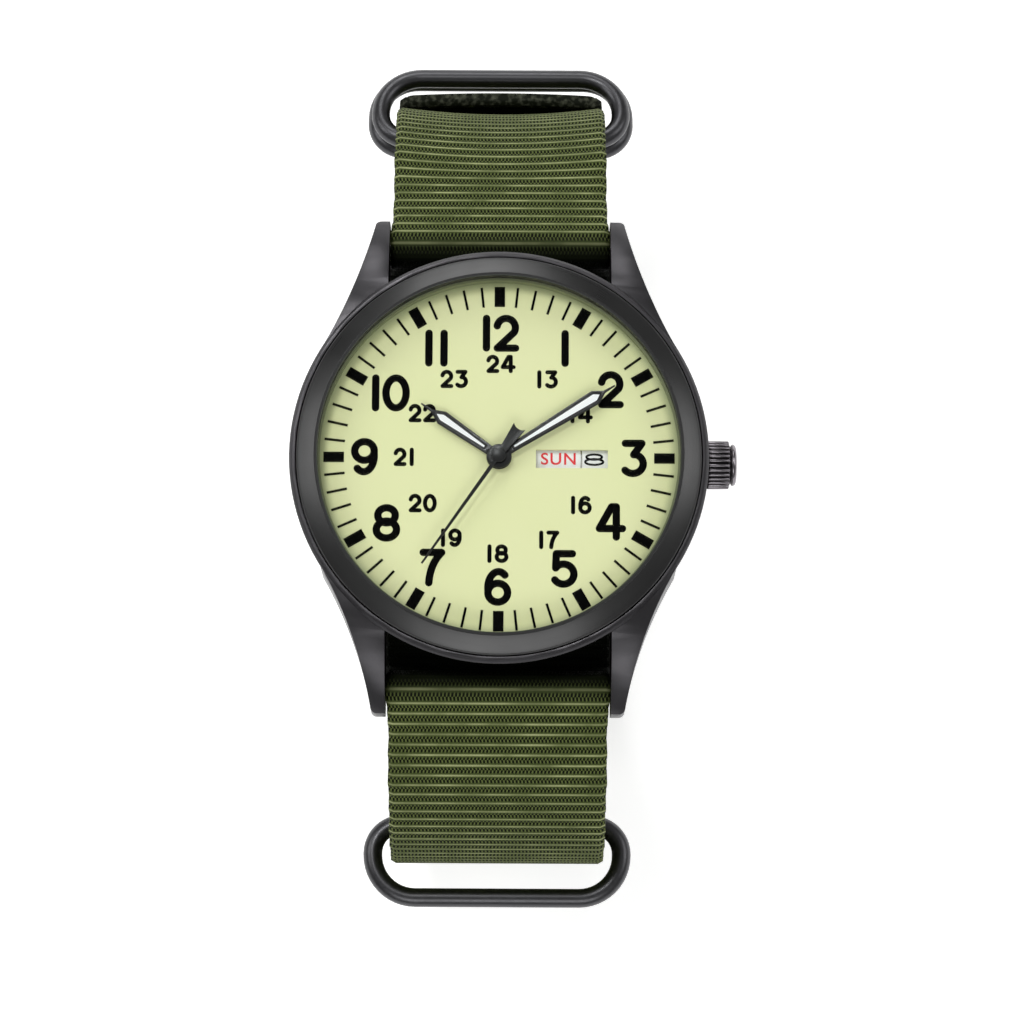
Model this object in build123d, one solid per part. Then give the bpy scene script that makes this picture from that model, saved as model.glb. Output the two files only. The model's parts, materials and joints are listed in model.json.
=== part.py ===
"""Field watch on a ringed webbing strap, closed round an empty wrist space and lying dial up.

Millimetres. The origin is the centre of the case back's flat outer face. +X points to
3 o'clock and the crown, +Y to 12 o'clock, +Z out of the dial.
"""
import os
from math import acos, asin, atan2, cos, degrees, hypot, pi, radians, sin, sqrt

from build123d import *

os.makedirs("parts", exist_ok=True)

# Overrun that every cutting tool has past the face it cuts
overrun = 0.5

# Case: middle, bezel, crystal and back
case_radius = 20.7
case_waist_inset = 1.7
case_bottom = 1.0
case_flank_top = 8.25
case_shoulder_height = 8.55
case_rim_top = 8.9
case_rim_round = 0.3
case_rim_gap = 0.08
bezel_seat = 7.85
case_wall = 2.4
neck_inset = 1.7
neck_top = 8.6
bezel_inset = 0.7
bezel_edge_top = 9.35
bezel_edge_round = 0.35
bezel_edge_share = 0.33
bezel_width = 1.85
bezel_top = 10.2
bezel_lip_width = 0.55
bezel_lip_bottom = 8.95
bezel_lip_top = 9.2
bezel_fit = 0.02
gasket_width = 0.3
crystal_top = 10.3
crystal_chamfer = 0.25
back_inset = 1.95
back_chamfer = 0.35
back_spigot_wall = 0.8
back_spigot_top = 2.4
back_fit = 0.04
back_notch_width = 3.0
back_notch_depth = 0.45
back_notch_angle = 45
back_gasket_height = 0.6
back_gasket_depth = 0.4
back_gasket_bottom = 1.5

# Lugs and spring bars
strap_width = 21.8
lug_clearance = 0.2
lug_end_length = 2.3
lug_tip_width = 1.45
lug_tip_corner = 0.6
lug_root_width = 3.5
lug_root_inset = 3.6
lug_meet_width = 6.4
lug_meet_y = 11.0
lug_inner_y = 10.0
lug_root_top = 8.65
lug_top_bend_y = 14.0
lug_tip_top = 3.9
lug_tip_bottom = 1.25
lug_heel_length = 0.8
lug_heel_bottom = 0.75
bar_distance = 3.7
bar_z = 2.2
bar_radius = 0.75
bar_wall = 0.2
bar_end_gap = 0.7
pivot_radius = 0.4
pivot_length = 0.75
pivot_hole_fit = 0.05
pivot_hole_depth = 1.0
plunger_length = 2.4
plunger_fit = 0.05
bar_spring_gap = 0.05
bar_spring_radius = 0.42
bar_spring_bore_radius = 0.3

# Crown and its stem
stem_z = 4.2
stem_radius = 0.45
stem_inner_x = 5.2
stem_groove_x = 9.6
stem_groove_width = 0.5
stem_groove_depth = 0.25
crown_radius = 2.45
crown_inset = 0.2
crown_knurl_length = 2.5
crown_cap_length = 0.6
crown_cap_radius = 2.1
crown_cap_round = 0.35
crown_ridges = 26
crown_ridge_depth = 0.2
crown_ridge_root_share = 0.7
crown_ridge_tip_share = 0.42
crown_recess_radius = 1.27
crown_recess_depth = 2.0
crown_bore_depth = 2.25
crown_travel = 1.2
crown_gasket_length = 0.4
tube_radius = 1.0
tube_bore_radius = 0.55
tube_inset = 0.3
tube_length = 4.3
running_fit = 0.03
clutch_radius = 0.68
clutch_start_x = 5.9
clutch_length = 1.5
clutch_teeth = 12
clutch_tooth_depth = 0.16
lever_z = 4.58
lever_thickness = 0.28
lever_width = 0.5
lever_pivot_radius = 0.35
lever_wall = 0.25
lever_reach = 1.8
lever_pin_radius = 0.17
lever_pin_drop = 0.6
lever_head_radius = 0.55
lever_head_thickness = 0.12

# Dial, its print and its surround
dial_bottom = 7.0
dial_thickness = 0.4
dial_fit = 0.15
dial_hole_radius = 1.05
surround_top_step = 0.05
surround_bottom_step = 0.15
window_height = 1.85
window_y = -0.08
window_start = 3.65
window_end = 10.75
print_thickness = 0.04
marker_margin = 0.4
marker_length = 2.03
hour_marker_width = 1.03
minute_marker_width = 0.24
minutes_around = 60
minutes_between_hours = 5

# Hands
hour_hand_length = 9.4
hour_hand_base = 0.95
hour_hand_shoulder = 1.45
hour_hand_shoulder_y = 6.9
hour_hand_needle_y = 8.1
hour_hand_z = 7.78
minute_hand_length = 13.5
minute_hand_base = 0.85
minute_hand_shoulder = 1.5
minute_hand_shoulder_y = 11.2
minute_hand_needle_y = 12.25
minute_hand_z = 8.22
hand_thickness = 0.16
hand_hub_radius = 1.25
minute_hub_radius = 1.2
hand_start = 0.6
hand_needle_width = 0.3
hand_tip_width = 0.15
lume_rim = 0.28
lume_base = 0.42
lume_start = 1.65
lume_end_gap = 0.45
lume_tip_width = 0.14
lume_proud = 0.03
second_hand_length = 13.2
second_hand_width = 0.42
second_hand_tip_width = 0.2
second_hand_z = 8.62
second_hand_thickness = 0.12
second_hub_radius = 0.69
second_hub_height = 0.2
second_tail_length = 3.55
second_tail_width = 1.35
second_tail_notch = 0.3
second_tail_neck = 0.62
hour_hand_angle = 304.7
minute_hand_angle = 57.9
second_hand_angle = 214.8

# Movement plates and calendar
movement_radius = 12.8
holder_fit = 0.05
holder_bottom = 2.4
holder_lip_radius = 12.2
holder_lip_bottom = 4.5
plate_bottom = 4.9
plate_top = 5.5
plate_wall_radius = 9.9
calendar_seat = 6.2
calendar_rim_radius = 11.4
calendar_plate_thickness = 0.2
calendar_plate_radius = 11.2
calendar_boss_radius = 1.9
calendar_boss_height = 0.4
calendar_bore_radius = 1.3
disc_thickness = 0.2
disc_rise = 0.06
date_disc_inner = 8.25
date_disc_outer = 11.2
day_disc_outer = 8.1
disc_bore_gap = 0.06
bridge_bottom = 2.7
bridge_top = 2.95
bridge_radius = 12.0
bridge_split_y = -3.1
bridge_gap = 0.2
pillar_radius = 0.9
screw_radius = 0.4
screw_head_radius = 0.75
screw_head_height = 0.25
screw_slot_width = 0.16
screw_slot_depth = 0.1
screw_depth = 1.2
pillar_places_radius = 9.6
board_pillar_x = -5.3
board_pillar_y = -9.3
battery_x = 5.6
battery_y = -6.0
battery_radius = 3.4
battery_top = 4.85
battery_bottom = 2.75
battery_fit = 0.2
battery_rim = 0.45
battery_rim_drop = 0.25
clamp_thickness = 0.2
clamp_width = 1.5
clamp_screw_x = 0.5
clamp_screw_y = -9.8
quartz_radius = 0.6
quartz_length = 4.4
quartz_x = -8.0
quartz_y = 7.3
quartz_z = 3.9
coil_radius = 0.8
coil_length = 6.2
coil_core_radius = 0.3
coil_flange_radius = 0.92
coil_flange_width = 0.4
coil_x = -4.2
coil_y = -7.2
coil_z = 3.85
stator_bottom = 3.68
stator_thickness = 0.3
stator_ring_radius = 1.6
stator_hole_radius = 1.0
stator_arm_width = 1.2

# Gear train: teeth counts, and the module of each mesh in millimetres
train_module = 0.1
step_module = 0.19
motion_module = 0.11
rotor_teeth = 6
step_wheel_teeth = 36
step_pinion_teeth = 6
second_wheel_teeth = 30
second_pinion_teeth = 8
third_wheel_teeth = 60
third_pinion_teeth = 8
centre_wheel_teeth = 64
cannon_teeth = 10
minute_wheel_teeth = 30
minute_pinion_teeth = 8
hour_wheel_teeth = 32
setting_wheel_teeth = 16
tooth_root_share = 0.5
tooth_tip_share = 0.22
tooth_addendum_share = 0.75
tooth_dedendum_share = 1.05
wheel_thickness = 0.2
pinion_thickness = 0.34
arbor_radius = 0.15
third_wheel_angle = 90.0
step_wheel_angle = 200.0
minute_wheel_angle = -20.0
second_wheel_z = 3.4
second_pinion_z = 3.68
third_wheel_z = 3.75
third_pinion_z = 4.28
centre_wheel_z = 4.35
step_wheel_z = 3.02
step_pinion_z = 3.33
rotor_pinion_z = 2.98
rotor_magnet_radius = 0.8
rotor_magnet_z = 3.42
rotor_magnet_height = 0.75
motion_wheel_z = 5.56
hour_wheel_z = 5.9
second_pipe_bore = 0.18
centre_pipe_radius = 0.5
hour_pipe_bore = 0.54
hour_pipe_radius = 0.95

# Webbing strap
strap_thickness = 1.3
strap_gap_below_back = 0.3
layer_gap = 0.25
strap_corner_radius = 1.95
bar_wrap_gap = 0.15
side_slope_angle = 30.0
side_radius = 18.0
side_length_12 = 10.15
side_length_6 = 5.46
side_lean_angle_12 = 30.0
side_lean_angle_6 = 12.0
lower_run_12 = 6.9
lower_radius_12 = 24.0
lower_radius_6 = 22.0
fold_return_radius = 4.0
fold_gap = 0.15
fold_return_length = 9.0
buckle_y = 0.8
crossing_drop = 2.2
crossing_radius = 12.0
tail_end_angle = 8.0
under_strap_inset = 1.2
under_strap_bend = 10.0
under_fold_angle = 10.0
under_end_length = 5.5
pocket_radius = 3.0
pocket_gap = 0.3
pocket_margin_angle = 2.0
fold_shoulder = 1.9
tongue_slot_width = 1.7
tongue_slot_length = 5.6
fold_slot_width = 2.2

# Rings, buckle and tongue
wire_radius = 0.975
wire_fit = 0.1
ring_side_gap = 1.925
ring_height = 7.6
ring_corner_radius = 3.0
ring_angle_12 = 5.0
ring_tilt_angle_12 = 20.0
ring_angle_6 = -12.0
ring_tilt_angle_6 = 14.0
keeper_side_gap = 2.375
keeper_height = 8.3
keeper_angle = -8.0
keeper_tilt_angle = 4.6
buckle_height = 12.0
buckle_corner_radius = 3.4
far_bar_gap = 0.2
tongue_radius = 0.5
tongue_loop_wall = 0.8
tongue_loop_width = 1.8
tongue_fit = 0.06
tongue_seat_gap = 0.08
tongue_overhang = 0.9

# Derived sizes
strap_gap = strap_width + 2 * lug_clearance
under_strap_width = strap_width - 2 * under_strap_inset
ring_width = strap_width + 2 * (wire_radius + ring_side_gap)
keeper_width = strap_width + 2 * (wire_radius + keeper_side_gap)
case_waist_radius = case_radius - case_waist_inset
case_bore_radius = case_radius - case_wall
neck_radius = case_radius - neck_inset
bezel_radius = case_radius - bezel_inset
bezel_inner_radius = bezel_radius - bezel_width
bezel_lip_radius = bezel_inner_radius - bezel_lip_width
back_radius = case_radius - back_inset
bar_y = case_waist_radius + bar_distance
lug_reach = bar_y + lug_end_length
lug_heel_y = lug_reach - lug_heel_length
lug_root_y = case_radius - lug_root_inset
crown_start_x = case_radius - crown_inset
tube_start_x = case_bore_radius - tube_inset
tube_end_x = tube_start_x + tube_length
crystal_radius = bezel_inner_radius - gasket_width
dial_radius = case_bore_radius - dial_fit
surround_top_radius = bezel_lip_radius + surround_top_step
surround_bottom_radius = bezel_lip_radius + surround_bottom_step
marker_outer_radius = surround_bottom_radius - marker_margin
rim_inner_radius = bezel_radius + case_rim_gap
bezel_edge_chamfer = bezel_edge_round * bezel_edge_share
dial_top = dial_bottom + dial_thickness
hour_blade = (hour_hand_length, hour_hand_base, hour_hand_shoulder, hour_hand_shoulder_y, hour_hand_needle_y)
minute_blade = (minute_hand_length, minute_hand_base, minute_hand_shoulder, minute_hand_shoulder_y,
                minute_hand_needle_y)
pitch_layer = strap_thickness + layer_gap
strap_z = -strap_gap_below_back - strap_thickness / 2
under_z = strap_z - pitch_layer
bar_wrap_radius = bar_radius + bar_wrap_gap + strap_thickness / 2
fold_radius = wire_radius + wire_fit + strap_thickness / 2
fold_height = strap_thickness + fold_gap
ring_inset = pitch_layer + fold_radius
keeper_inset = strap_thickness / 2 + pocket_gap + wire_radius
pocket_pitch = strap_thickness + 2 * (wire_radius + pocket_gap)
nodes = {}


def ring_solid(outer, inner, bottom, top):
    """A washer or tube about the Z axis."""
    tube = Pos(0, 0, bottom) * Cylinder(outer, top - bottom, align=(Align.CENTER, Align.CENTER, Align.MIN))
    if inner > 0:
        cut = Cylinder(inner, top - bottom + 2 * overrun, align=(Align.CENTER, Align.CENTER, Align.MIN))
        tube = tube - Pos(0, 0, bottom - overrun) * cut
    return tube


def disc(radius, bottom, height, x=0, y=0):
    """An upright cylinder standing on a given height."""
    return Pos(x, y, bottom) * Cylinder(radius, height, align=(Align.CENTER, Align.CENTER, Align.MIN))


def rod(radius, start_x, end_x, y=0, z=0):
    """A cylinder along X."""
    length = end_x - start_x
    return Pos((start_x + end_x) / 2, y, z) * Rot(0, 90, 0) * Cylinder(radius, length)


def turned(points):
    """A solid of revolution about Z from (radius, height) corners."""
    corners = [(radius, 0, height) for radius, height in points]
    outline = Polyline(*corners, close=True)
    return revolve(make_face(outline), Axis.Z, 360)


def polygon(points, bottom, height):
    """An upright prism over a plan outline."""
    outline = Polyline(*[(x, y, bottom) for x, y in points], close=True)
    return extrude(make_face(outline), height, dir=(0, 0, 1))


def polar(radius, angle):
    """Plan position at an angle counter-clockwise from +X."""
    return radius * cos(radians(angle)), radius * sin(radians(angle))


def toothed(teeth, root, tip, root_share, tip_share, phase=0):
    """Plan corners of a wheel with straight-sided teeth; phase is the angle of its first tooth."""
    step = 2 * pi / teeth
    corners = []
    for index in range(teeth):
        middle = index * step + radians(phase)
        for radius, share in ((root, -root_share), (tip, -tip_share), (tip, tip_share), (root, root_share)):
            angle = middle + share * step / 2
            corners.append((radius * cos(angle), radius * sin(angle)))
    return corners


def gear(teeth, module, bottom, height, phase=0):
    """A spur wheel about the Z axis."""
    pitch_radius = teeth * module / 2
    tip = pitch_radius + tooth_addendum_share * module
    root = pitch_radius - tooth_dedendum_share * module
    return polygon(toothed(teeth, root, tip, tooth_root_share, tooth_tip_share, phase), bottom, height)


def mesh_phase(driver_teeth, driver_phase, direction, driven_teeth):
    """Phase that sets a tooth gap of the driven wheel on the driver's nearest tooth."""
    driver_step = 360 / driver_teeth
    driven_step = 360 / driven_teeth
    offset = (direction - driver_phase) / driver_step
    part_tooth = offset - round(offset)
    return direction + 180 + (0.5 + part_tooth) * driven_step


# Case middle with its four lugs
def case_middle():
    body = turned([
        (case_bore_radius, case_bottom), (case_waist_radius, case_bottom),
        (case_radius, case_flank_top), (case_radius, case_shoulder_height),
        (case_radius - case_rim_round, case_rim_top), (rim_inner_radius, case_rim_top),
        (rim_inner_radius, bezel_seat), (neck_radius, bezel_seat), (neck_radius, neck_top),
        (case_bore_radius, neck_top)])
    lugs = lug()
    lugs = lugs + mirror(lugs, Plane.YZ)
    lugs = lugs + mirror(lugs, Plane.XZ)
    lugs = lugs - disc(neck_radius, -overrun, bezel_seat + 2 * overrun)
    lugs = lugs - disc(rim_inner_radius, bezel_seat, case_rim_top)
    body = body + lugs
    body = body - rod(tube_radius, case_bore_radius - overrun, case_radius + overrun, z=stem_z)
    hole_end = strap_gap / 2 + pivot_hole_depth
    for side in (-1, 1):
        hole = rod(pivot_radius + pivot_hole_fit, -hole_end, hole_end, side * bar_y, bar_z)
        body = body - hole
    return body


def lug():
    """One lug on the 3 o'clock side at 12: a plan outline cut by a side outline."""
    inner = strap_gap / 2
    outer = inner + lug_tip_width
    corner = (outer - lug_tip_corner, lug_reach)
    flank = (outer, lug_reach - lug_tip_corner)
    root = (inner + lug_root_width, lug_root_y)
    meet = (inner + lug_meet_width, lug_meet_y)
    plan = [
        Line((inner, lug_inner_y), (inner, lug_reach)),
        Line((inner, lug_reach), corner),
        TangentArc(corner, flank, tangent=(1, 0)),
        ThreePointArc(flank, root, meet),
        Line(meet, (inner, lug_inner_y))]
    upright = extrude(make_face(plan), case_rim_top, dir=(0, 0, 1))
    bend = (0, lug_top_bend_y, lug_root_top)
    side = [
        Line((0, lug_inner_y, case_bottom), (0, lug_inner_y, lug_root_top)),
        Line((0, lug_inner_y, lug_root_top), bend),
        TangentArc(bend, (0, lug_reach, lug_tip_top), tangent=(0, 1, 0)),
        Line((0, lug_reach, lug_tip_top), (0, lug_reach, lug_tip_bottom)),
        Line((0, lug_reach, lug_tip_bottom), (0, lug_heel_y, lug_heel_bottom)),
        Line((0, lug_heel_y, lug_heel_bottom), (0, lug_root_y, case_bottom)),
        Line((0, lug_root_y, case_bottom), (0, lug_inner_y, case_bottom))]
    across = extrude(make_face(side), case_radius, dir=(1, 0, 0))
    return upright & across


def bezel():
    """Polished ring with a conical face, an edge round and a lip under the crystal."""
    return turned([
        (neck_radius + bezel_fit, bezel_seat + bezel_fit), (bezel_radius, bezel_seat + bezel_fit),
        (bezel_radius, bezel_edge_top - bezel_edge_round),
        (bezel_radius - bezel_edge_chamfer, bezel_edge_top - bezel_edge_chamfer),
        (bezel_radius - bezel_edge_round, bezel_edge_top), (bezel_inner_radius, bezel_top),
        (bezel_inner_radius, bezel_lip_top), (bezel_lip_radius, bezel_lip_top),
        (bezel_lip_radius, bezel_lip_bottom), (case_bore_radius, bezel_lip_bottom),
        (case_bore_radius, neck_top + bezel_fit), (neck_radius + bezel_fit, neck_top + bezel_fit)])


def crystal():
    return turned([
        (0, bezel_lip_top), (crystal_radius, bezel_lip_top),
        (crystal_radius, crystal_top - crystal_chamfer),
        (crystal_radius - crystal_chamfer, crystal_top), (0, crystal_top)])


def case_back():
    """Snap back: a plate with a chamfered rim, an opening notch and a grooved spigot."""
    spigot = case_bore_radius - back_fit
    groove_top = back_gasket_bottom + back_gasket_height
    groove = spigot - back_gasket_depth
    inner = spigot - back_spigot_wall
    back = turned([
        (0, 0), (back_radius - back_chamfer, 0), (back_radius, back_chamfer), (back_radius, case_bottom),
        (spigot, case_bottom), (spigot, back_gasket_bottom), (groove, back_gasket_bottom),
        (groove, groove_top), (spigot, groove_top), (spigot, back_spigot_top),
        (inner, back_spigot_top), (inner, case_bottom), (0, case_bottom)])
    notch = Box(back_notch_width, 2 * back_notch_depth, 2 * back_chamfer)
    place = Rot(0, 0, back_notch_angle) * Pos(0, back_radius, case_bottom)
    return back - place * notch


def back_gasket():
    spigot = case_bore_radius - back_fit
    return ring_solid(case_bore_radius, spigot - back_gasket_depth, back_gasket_bottom,
                      back_gasket_bottom + back_gasket_height)


def dial_surround():
    """Conical ring between the dial's edge and the crystal's seat."""
    outer = case_bore_radius - back_fit
    return turned([
        (surround_bottom_radius, dial_top), (outer, dial_top), (outer, bezel_lip_bottom),
        (surround_top_radius, bezel_lip_bottom)])


def movement_holder():
    """Plastic ring between movement and case, with a channel for the stem and the tube."""
    bore = movement_radius + holder_fit
    outer = case_bore_radius - back_fit
    holder = turned([
        (holder_lip_radius, holder_lip_bottom), (holder_lip_radius, plate_bottom), (bore, plate_bottom),
        (bore, dial_bottom), (outer, dial_bottom), (outer, holder_bottom), (bore + holder_fit, holder_bottom),
        (bore + holder_fit, holder_lip_bottom)])
    return holder - rod(tube_radius + running_fit, holder_lip_radius - overrun, outer + overrun, z=stem_z)


# Dial and its applied print
def dial():
    plate = disc(dial_radius, dial_bottom, dial_thickness) - disc(
        dial_hole_radius, dial_bottom - overrun, dial_thickness + 2 * overrun)
    window = Box(window_end - window_start, window_height, dial_thickness + 2 * overrun)
    return plate - Pos((window_start + window_end) / 2, window_y, dial_bottom + dial_thickness / 2) * window


def markers(width, keep):
    """Printed bars along the dial's edge, one for each minute that keep accepts."""
    bar = Pos(0, marker_outer_radius - marker_length / 2, dial_top + print_thickness / 2)
    bar = bar * Box(width, marker_length, print_thickness)
    step = 360 / minutes_around
    return [Rot(0, 0, -step * minute) * bar for minute in range(minutes_around) if keep(minute)]


# Hands
def tapered_hand(blade_sizes, hub, pipe, bottom, angle):
    """A hand that widens from its hub to a shoulder and ends in a needle, with a window for lume."""
    length, base, shoulder, shoulder_y, needle_y = blade_sizes
    right = [(base / 2, hand_start), (shoulder / 2, shoulder_y), (hand_needle_width / 2, needle_y),
             (hand_tip_width / 2, length)]
    left = [(-x, y) for x, y in reversed(right)]
    cut_height = hand_thickness + 2 * overrun
    blade = polygon(right + left, bottom, hand_thickness)
    blade = blade + disc(hub, bottom, hand_thickness)
    blade = blade - lume_blank(blade_sizes, bottom - overrun, cut_height)
    blade = blade - disc(pipe, bottom - overrun, cut_height)
    return Rot(0, 0, -angle) * blade


def lume_blank(blade_sizes, bottom, height):
    """The strip of luminous paint that fills a hand's window."""
    length, base, shoulder, shoulder_y, needle_y = blade_sizes
    right = [(lume_base / 2, lume_start), (shoulder / 2 - lume_rim, shoulder_y),
             (lume_tip_width / 2, needle_y - lume_end_gap)]
    left = [(-x, y) for x, y in reversed(right)]
    return polygon(right + left, bottom, height)


def second_hand():
    """Thin tapered hand with a flared, fish-tailed counterweight and a domed hub."""
    half = second_hand_width / 2
    tip = second_hand_tip_width / 2
    blade = polygon([(-half, 0), (-tip, second_hand_length), (tip, second_hand_length), (half, 0)],
                    second_hand_z, second_hand_thickness)
    tail = second_tail_width / 2
    neck = second_tail_neck / 2
    end = [
        Line((-neck, 0, second_hand_z), (neck, 0, second_hand_z)),
        Line((neck, 0, second_hand_z), (tail, -second_tail_length, second_hand_z)),
        ThreePointArc((tail, -second_tail_length, second_hand_z),
                      (0, second_tail_notch - second_tail_length, second_hand_z),
                      (-tail, -second_tail_length, second_hand_z)),
        Line((-tail, -second_tail_length, second_hand_z), (-neck, 0, second_hand_z))]
    blade = blade + extrude(make_face(end), second_hand_thickness, dir=(0, 0, 1))
    blade = blade + disc(second_hub_radius, second_hand_z, second_hub_height)
    return Rot(0, 0, -second_hand_angle) * blade


# Gear train. Each arbor is one solid with its wheel and its pinion.
third_distance = (second_pinion_teeth + third_wheel_teeth) * train_module / 2
centre_module = 2 * third_distance / (third_pinion_teeth + centre_wheel_teeth)
step_distance = (step_pinion_teeth + second_wheel_teeth) * step_module / 2
rotor_distance = (rotor_teeth + step_wheel_teeth) * train_module / 2
minute_distance = (cannon_teeth + minute_wheel_teeth) * motion_module / 2
hour_module = 2 * minute_distance / (minute_pinion_teeth + hour_wheel_teeth)
setting_distance = (minute_wheel_teeth + setting_wheel_teeth) * motion_module / 2
third_place = polar(third_distance, third_wheel_angle)
step_place = polar(step_distance, step_wheel_angle)
rotor_place = (step_place[0] + polar(rotor_distance, step_wheel_angle)[0],
               step_place[1] + polar(rotor_distance, step_wheel_angle)[1])
minute_place = polar(minute_distance, minute_wheel_angle)
setting_place = (minute_place[0] + setting_distance, minute_place[1])


def arbor(radius, bottom, top):
    return disc(radius, bottom, top - bottom)


def gear_train():
    """All toothed wheels, each about its own axis and in mesh at rest."""
    wheels = {}
    second = gear(second_wheel_teeth, step_module, second_wheel_z, wheel_thickness)
    second = second + gear(second_pinion_teeth, train_module, second_pinion_z, pinion_thickness)
    second = second + arbor(arbor_radius, bridge_bottom, second_hand_z)
    wheels["second_wheel"] = second
    phase = mesh_phase(second_pinion_teeth, 0, third_wheel_angle, third_wheel_teeth)
    third = gear(third_wheel_teeth, train_module, third_wheel_z, wheel_thickness, phase)
    third = third + gear(third_pinion_teeth, centre_module, third_pinion_z, pinion_thickness)
    third = third + arbor(arbor_radius, bridge_bottom, plate_top)
    wheels["third_wheel"] = Pos(*third_place) * third
    phase = mesh_phase(third_pinion_teeth, 0, third_wheel_angle + 180, centre_wheel_teeth)
    centre = gear(centre_wheel_teeth, centre_module, centre_wheel_z, wheel_thickness, phase)
    centre = centre + gear(cannon_teeth, motion_module, motion_wheel_z, pinion_thickness)
    centre = centre + arbor(centre_pipe_radius, centre_wheel_z, minute_hand_z + hand_thickness)
    centre = centre - disc(second_pipe_bore, centre_wheel_z - overrun, minute_hand_z)
    wheels["centre_wheel"] = centre
    step_phase = mesh_phase(second_wheel_teeth, 0, step_wheel_angle, step_pinion_teeth)
    step = gear(step_pinion_teeth, step_module, step_pinion_z, pinion_thickness, step_phase)
    step = step + gear(step_wheel_teeth, train_module, step_wheel_z, wheel_thickness)
    step = step + arbor(arbor_radius, bridge_bottom, plate_top)
    wheels["step_wheel"] = Pos(*step_place) * step
    phase = mesh_phase(step_wheel_teeth, 0, step_wheel_angle, rotor_teeth)
    rotor = gear(rotor_teeth, train_module, rotor_pinion_z, pinion_thickness, phase)
    rotor = rotor + disc(rotor_magnet_radius, rotor_magnet_z, rotor_magnet_height)
    rotor = rotor + arbor(arbor_radius, bridge_bottom, plate_top)
    wheels["rotor"] = Pos(*rotor_place) * rotor
    phase = mesh_phase(cannon_teeth, 0, minute_wheel_angle, minute_wheel_teeth)
    minute = gear(minute_wheel_teeth, motion_module, motion_wheel_z, wheel_thickness, phase)
    minute = minute + gear(minute_pinion_teeth, hour_module, hour_wheel_z - wheel_thickness / 2,
                           pinion_thickness, minute_wheel_angle + 180)
    minute = minute + arbor(arbor_radius, plate_bottom, calendar_seat)
    wheels["minute_wheel"] = Pos(*minute_place) * minute
    hour_phase = mesh_phase(minute_pinion_teeth, minute_wheel_angle + 180, minute_wheel_angle + 180,
                            hour_wheel_teeth)
    hour = gear(hour_wheel_teeth, hour_module, hour_wheel_z, wheel_thickness, hour_phase)
    hour = hour + disc(hour_pipe_radius, hour_wheel_z, hour_hand_z + hand_thickness - hour_wheel_z)
    hour = hour - disc(hour_pipe_bore, hour_wheel_z - overrun, hour_hand_z)
    wheels["hour_wheel"] = hour
    phase = mesh_phase(cannon_teeth, 0, minute_wheel_angle, minute_wheel_teeth)
    phase = mesh_phase(minute_wheel_teeth, phase, 0, setting_wheel_teeth)
    setting = gear(setting_wheel_teeth, motion_module, motion_wheel_z, wheel_thickness, phase)
    setting = setting + arbor(arbor_radius, plate_bottom, calendar_seat)
    wheels["setting_wheel"] = Pos(*setting_place) * setting
    return wheels


# Movement frame
pivots = [third_place, step_place, rotor_place]
dial_side_pivots = [minute_place, setting_place]
bridge_pillars = [polar(pillar_places_radius, angle) for angle in (25.0, 90.0, 155.0)]
board_pillars = [(board_pillar_x, board_pillar_y), (clamp_screw_x, clamp_screw_y)]


def main_plate():
    """Dial-side plate with the calendar's stepped rim, pivot holes and pillars."""
    plate = turned([
        (0, plate_bottom), (movement_radius, plate_bottom), (movement_radius, dial_bottom),
        (calendar_rim_radius, dial_bottom), (calendar_rim_radius, calendar_seat),
        (plate_wall_radius, calendar_seat), (plate_wall_radius, plate_top), (0, plate_top)])
    for x, y in bridge_pillars + board_pillars:
        plate = plate + disc(pillar_radius, bridge_top, plate_bottom - bridge_top + overrun / 2, x, y)
        plate = plate - disc(screw_radius, bridge_bottom, bridge_top - bridge_bottom + screw_depth, x, y)
    for x, y in pivots + dial_side_pivots:
        plate = plate - disc(arbor_radius + running_fit, plate_bottom - overrun, plate_top, x, y)
    plate = plate - disc(centre_pipe_radius + running_fit, plate_bottom - overrun, plate_top)
    stud_bottom = lever_z - running_fit - lever_head_thickness
    plate = plate + disc(lever_pivot_radius, stud_bottom, plate_top - stud_bottom, lever_x, lever_y)
    return plate + disc(lever_head_radius, stud_bottom, lever_head_thickness, lever_x, lever_y)


def half_plate(keep_upper):
    """Half of the back-side plate, cut along a chord."""
    side = 2 * bridge_radius
    chord_y = bridge_split_y + bridge_gap / 2 if keep_upper else bridge_split_y - bridge_gap / 2
    centre_y = chord_y + side / 2 if keep_upper else chord_y - side / 2
    block = Pos(0, centre_y, (bridge_bottom + bridge_top) / 2) * Box(side, side, bridge_top - bridge_bottom)
    return disc(bridge_radius, bridge_bottom, bridge_top - bridge_bottom) & block


def train_bridge():
    plate = half_plate(True)
    cut_bottom = bridge_bottom - overrun
    cut_height = bridge_top + 2 * overrun
    for x, y in pivots + [(0, 0)]:
        plate = plate - disc(arbor_radius + running_fit, cut_bottom, cut_height, x, y)
    for x, y in bridge_pillars:
        plate = plate - disc(screw_radius, cut_bottom, cut_height, x, y)
    return plate


def circuit_board():
    plate = half_plate(False)
    plate = plate - disc(battery_radius + battery_fit, bridge_bottom - overrun, 2 * overrun + bridge_top,
                         battery_x, battery_y)
    for x, y in board_pillars:
        plate = plate - disc(screw_radius, bridge_bottom - overrun, 2 * overrun + bridge_top, x, y)
    return plate


def screw(x, y, head_bottom):
    head_top = head_bottom - screw_head_height
    body = disc(screw_head_radius, head_top, screw_head_height, x, y)
    body = body + disc(screw_radius, head_bottom, bridge_top - head_bottom + screw_depth - overrun / 2, x, y)
    slot = Box(2 * screw_head_radius + overrun, screw_slot_width, 2 * screw_slot_depth)
    return body - Pos(x, y, head_top) * slot


def battery():
    """Button cell with its stepped negative cap towards the case back."""
    step_z = battery_bottom + battery_rim_drop
    cell = disc(battery_radius, step_z, battery_top - step_z)
    cell = cell + disc(battery_radius - battery_rim, battery_bottom, battery_rim_drop + overrun / 2)
    return Pos(battery_x, battery_y, 0) * cell


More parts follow.
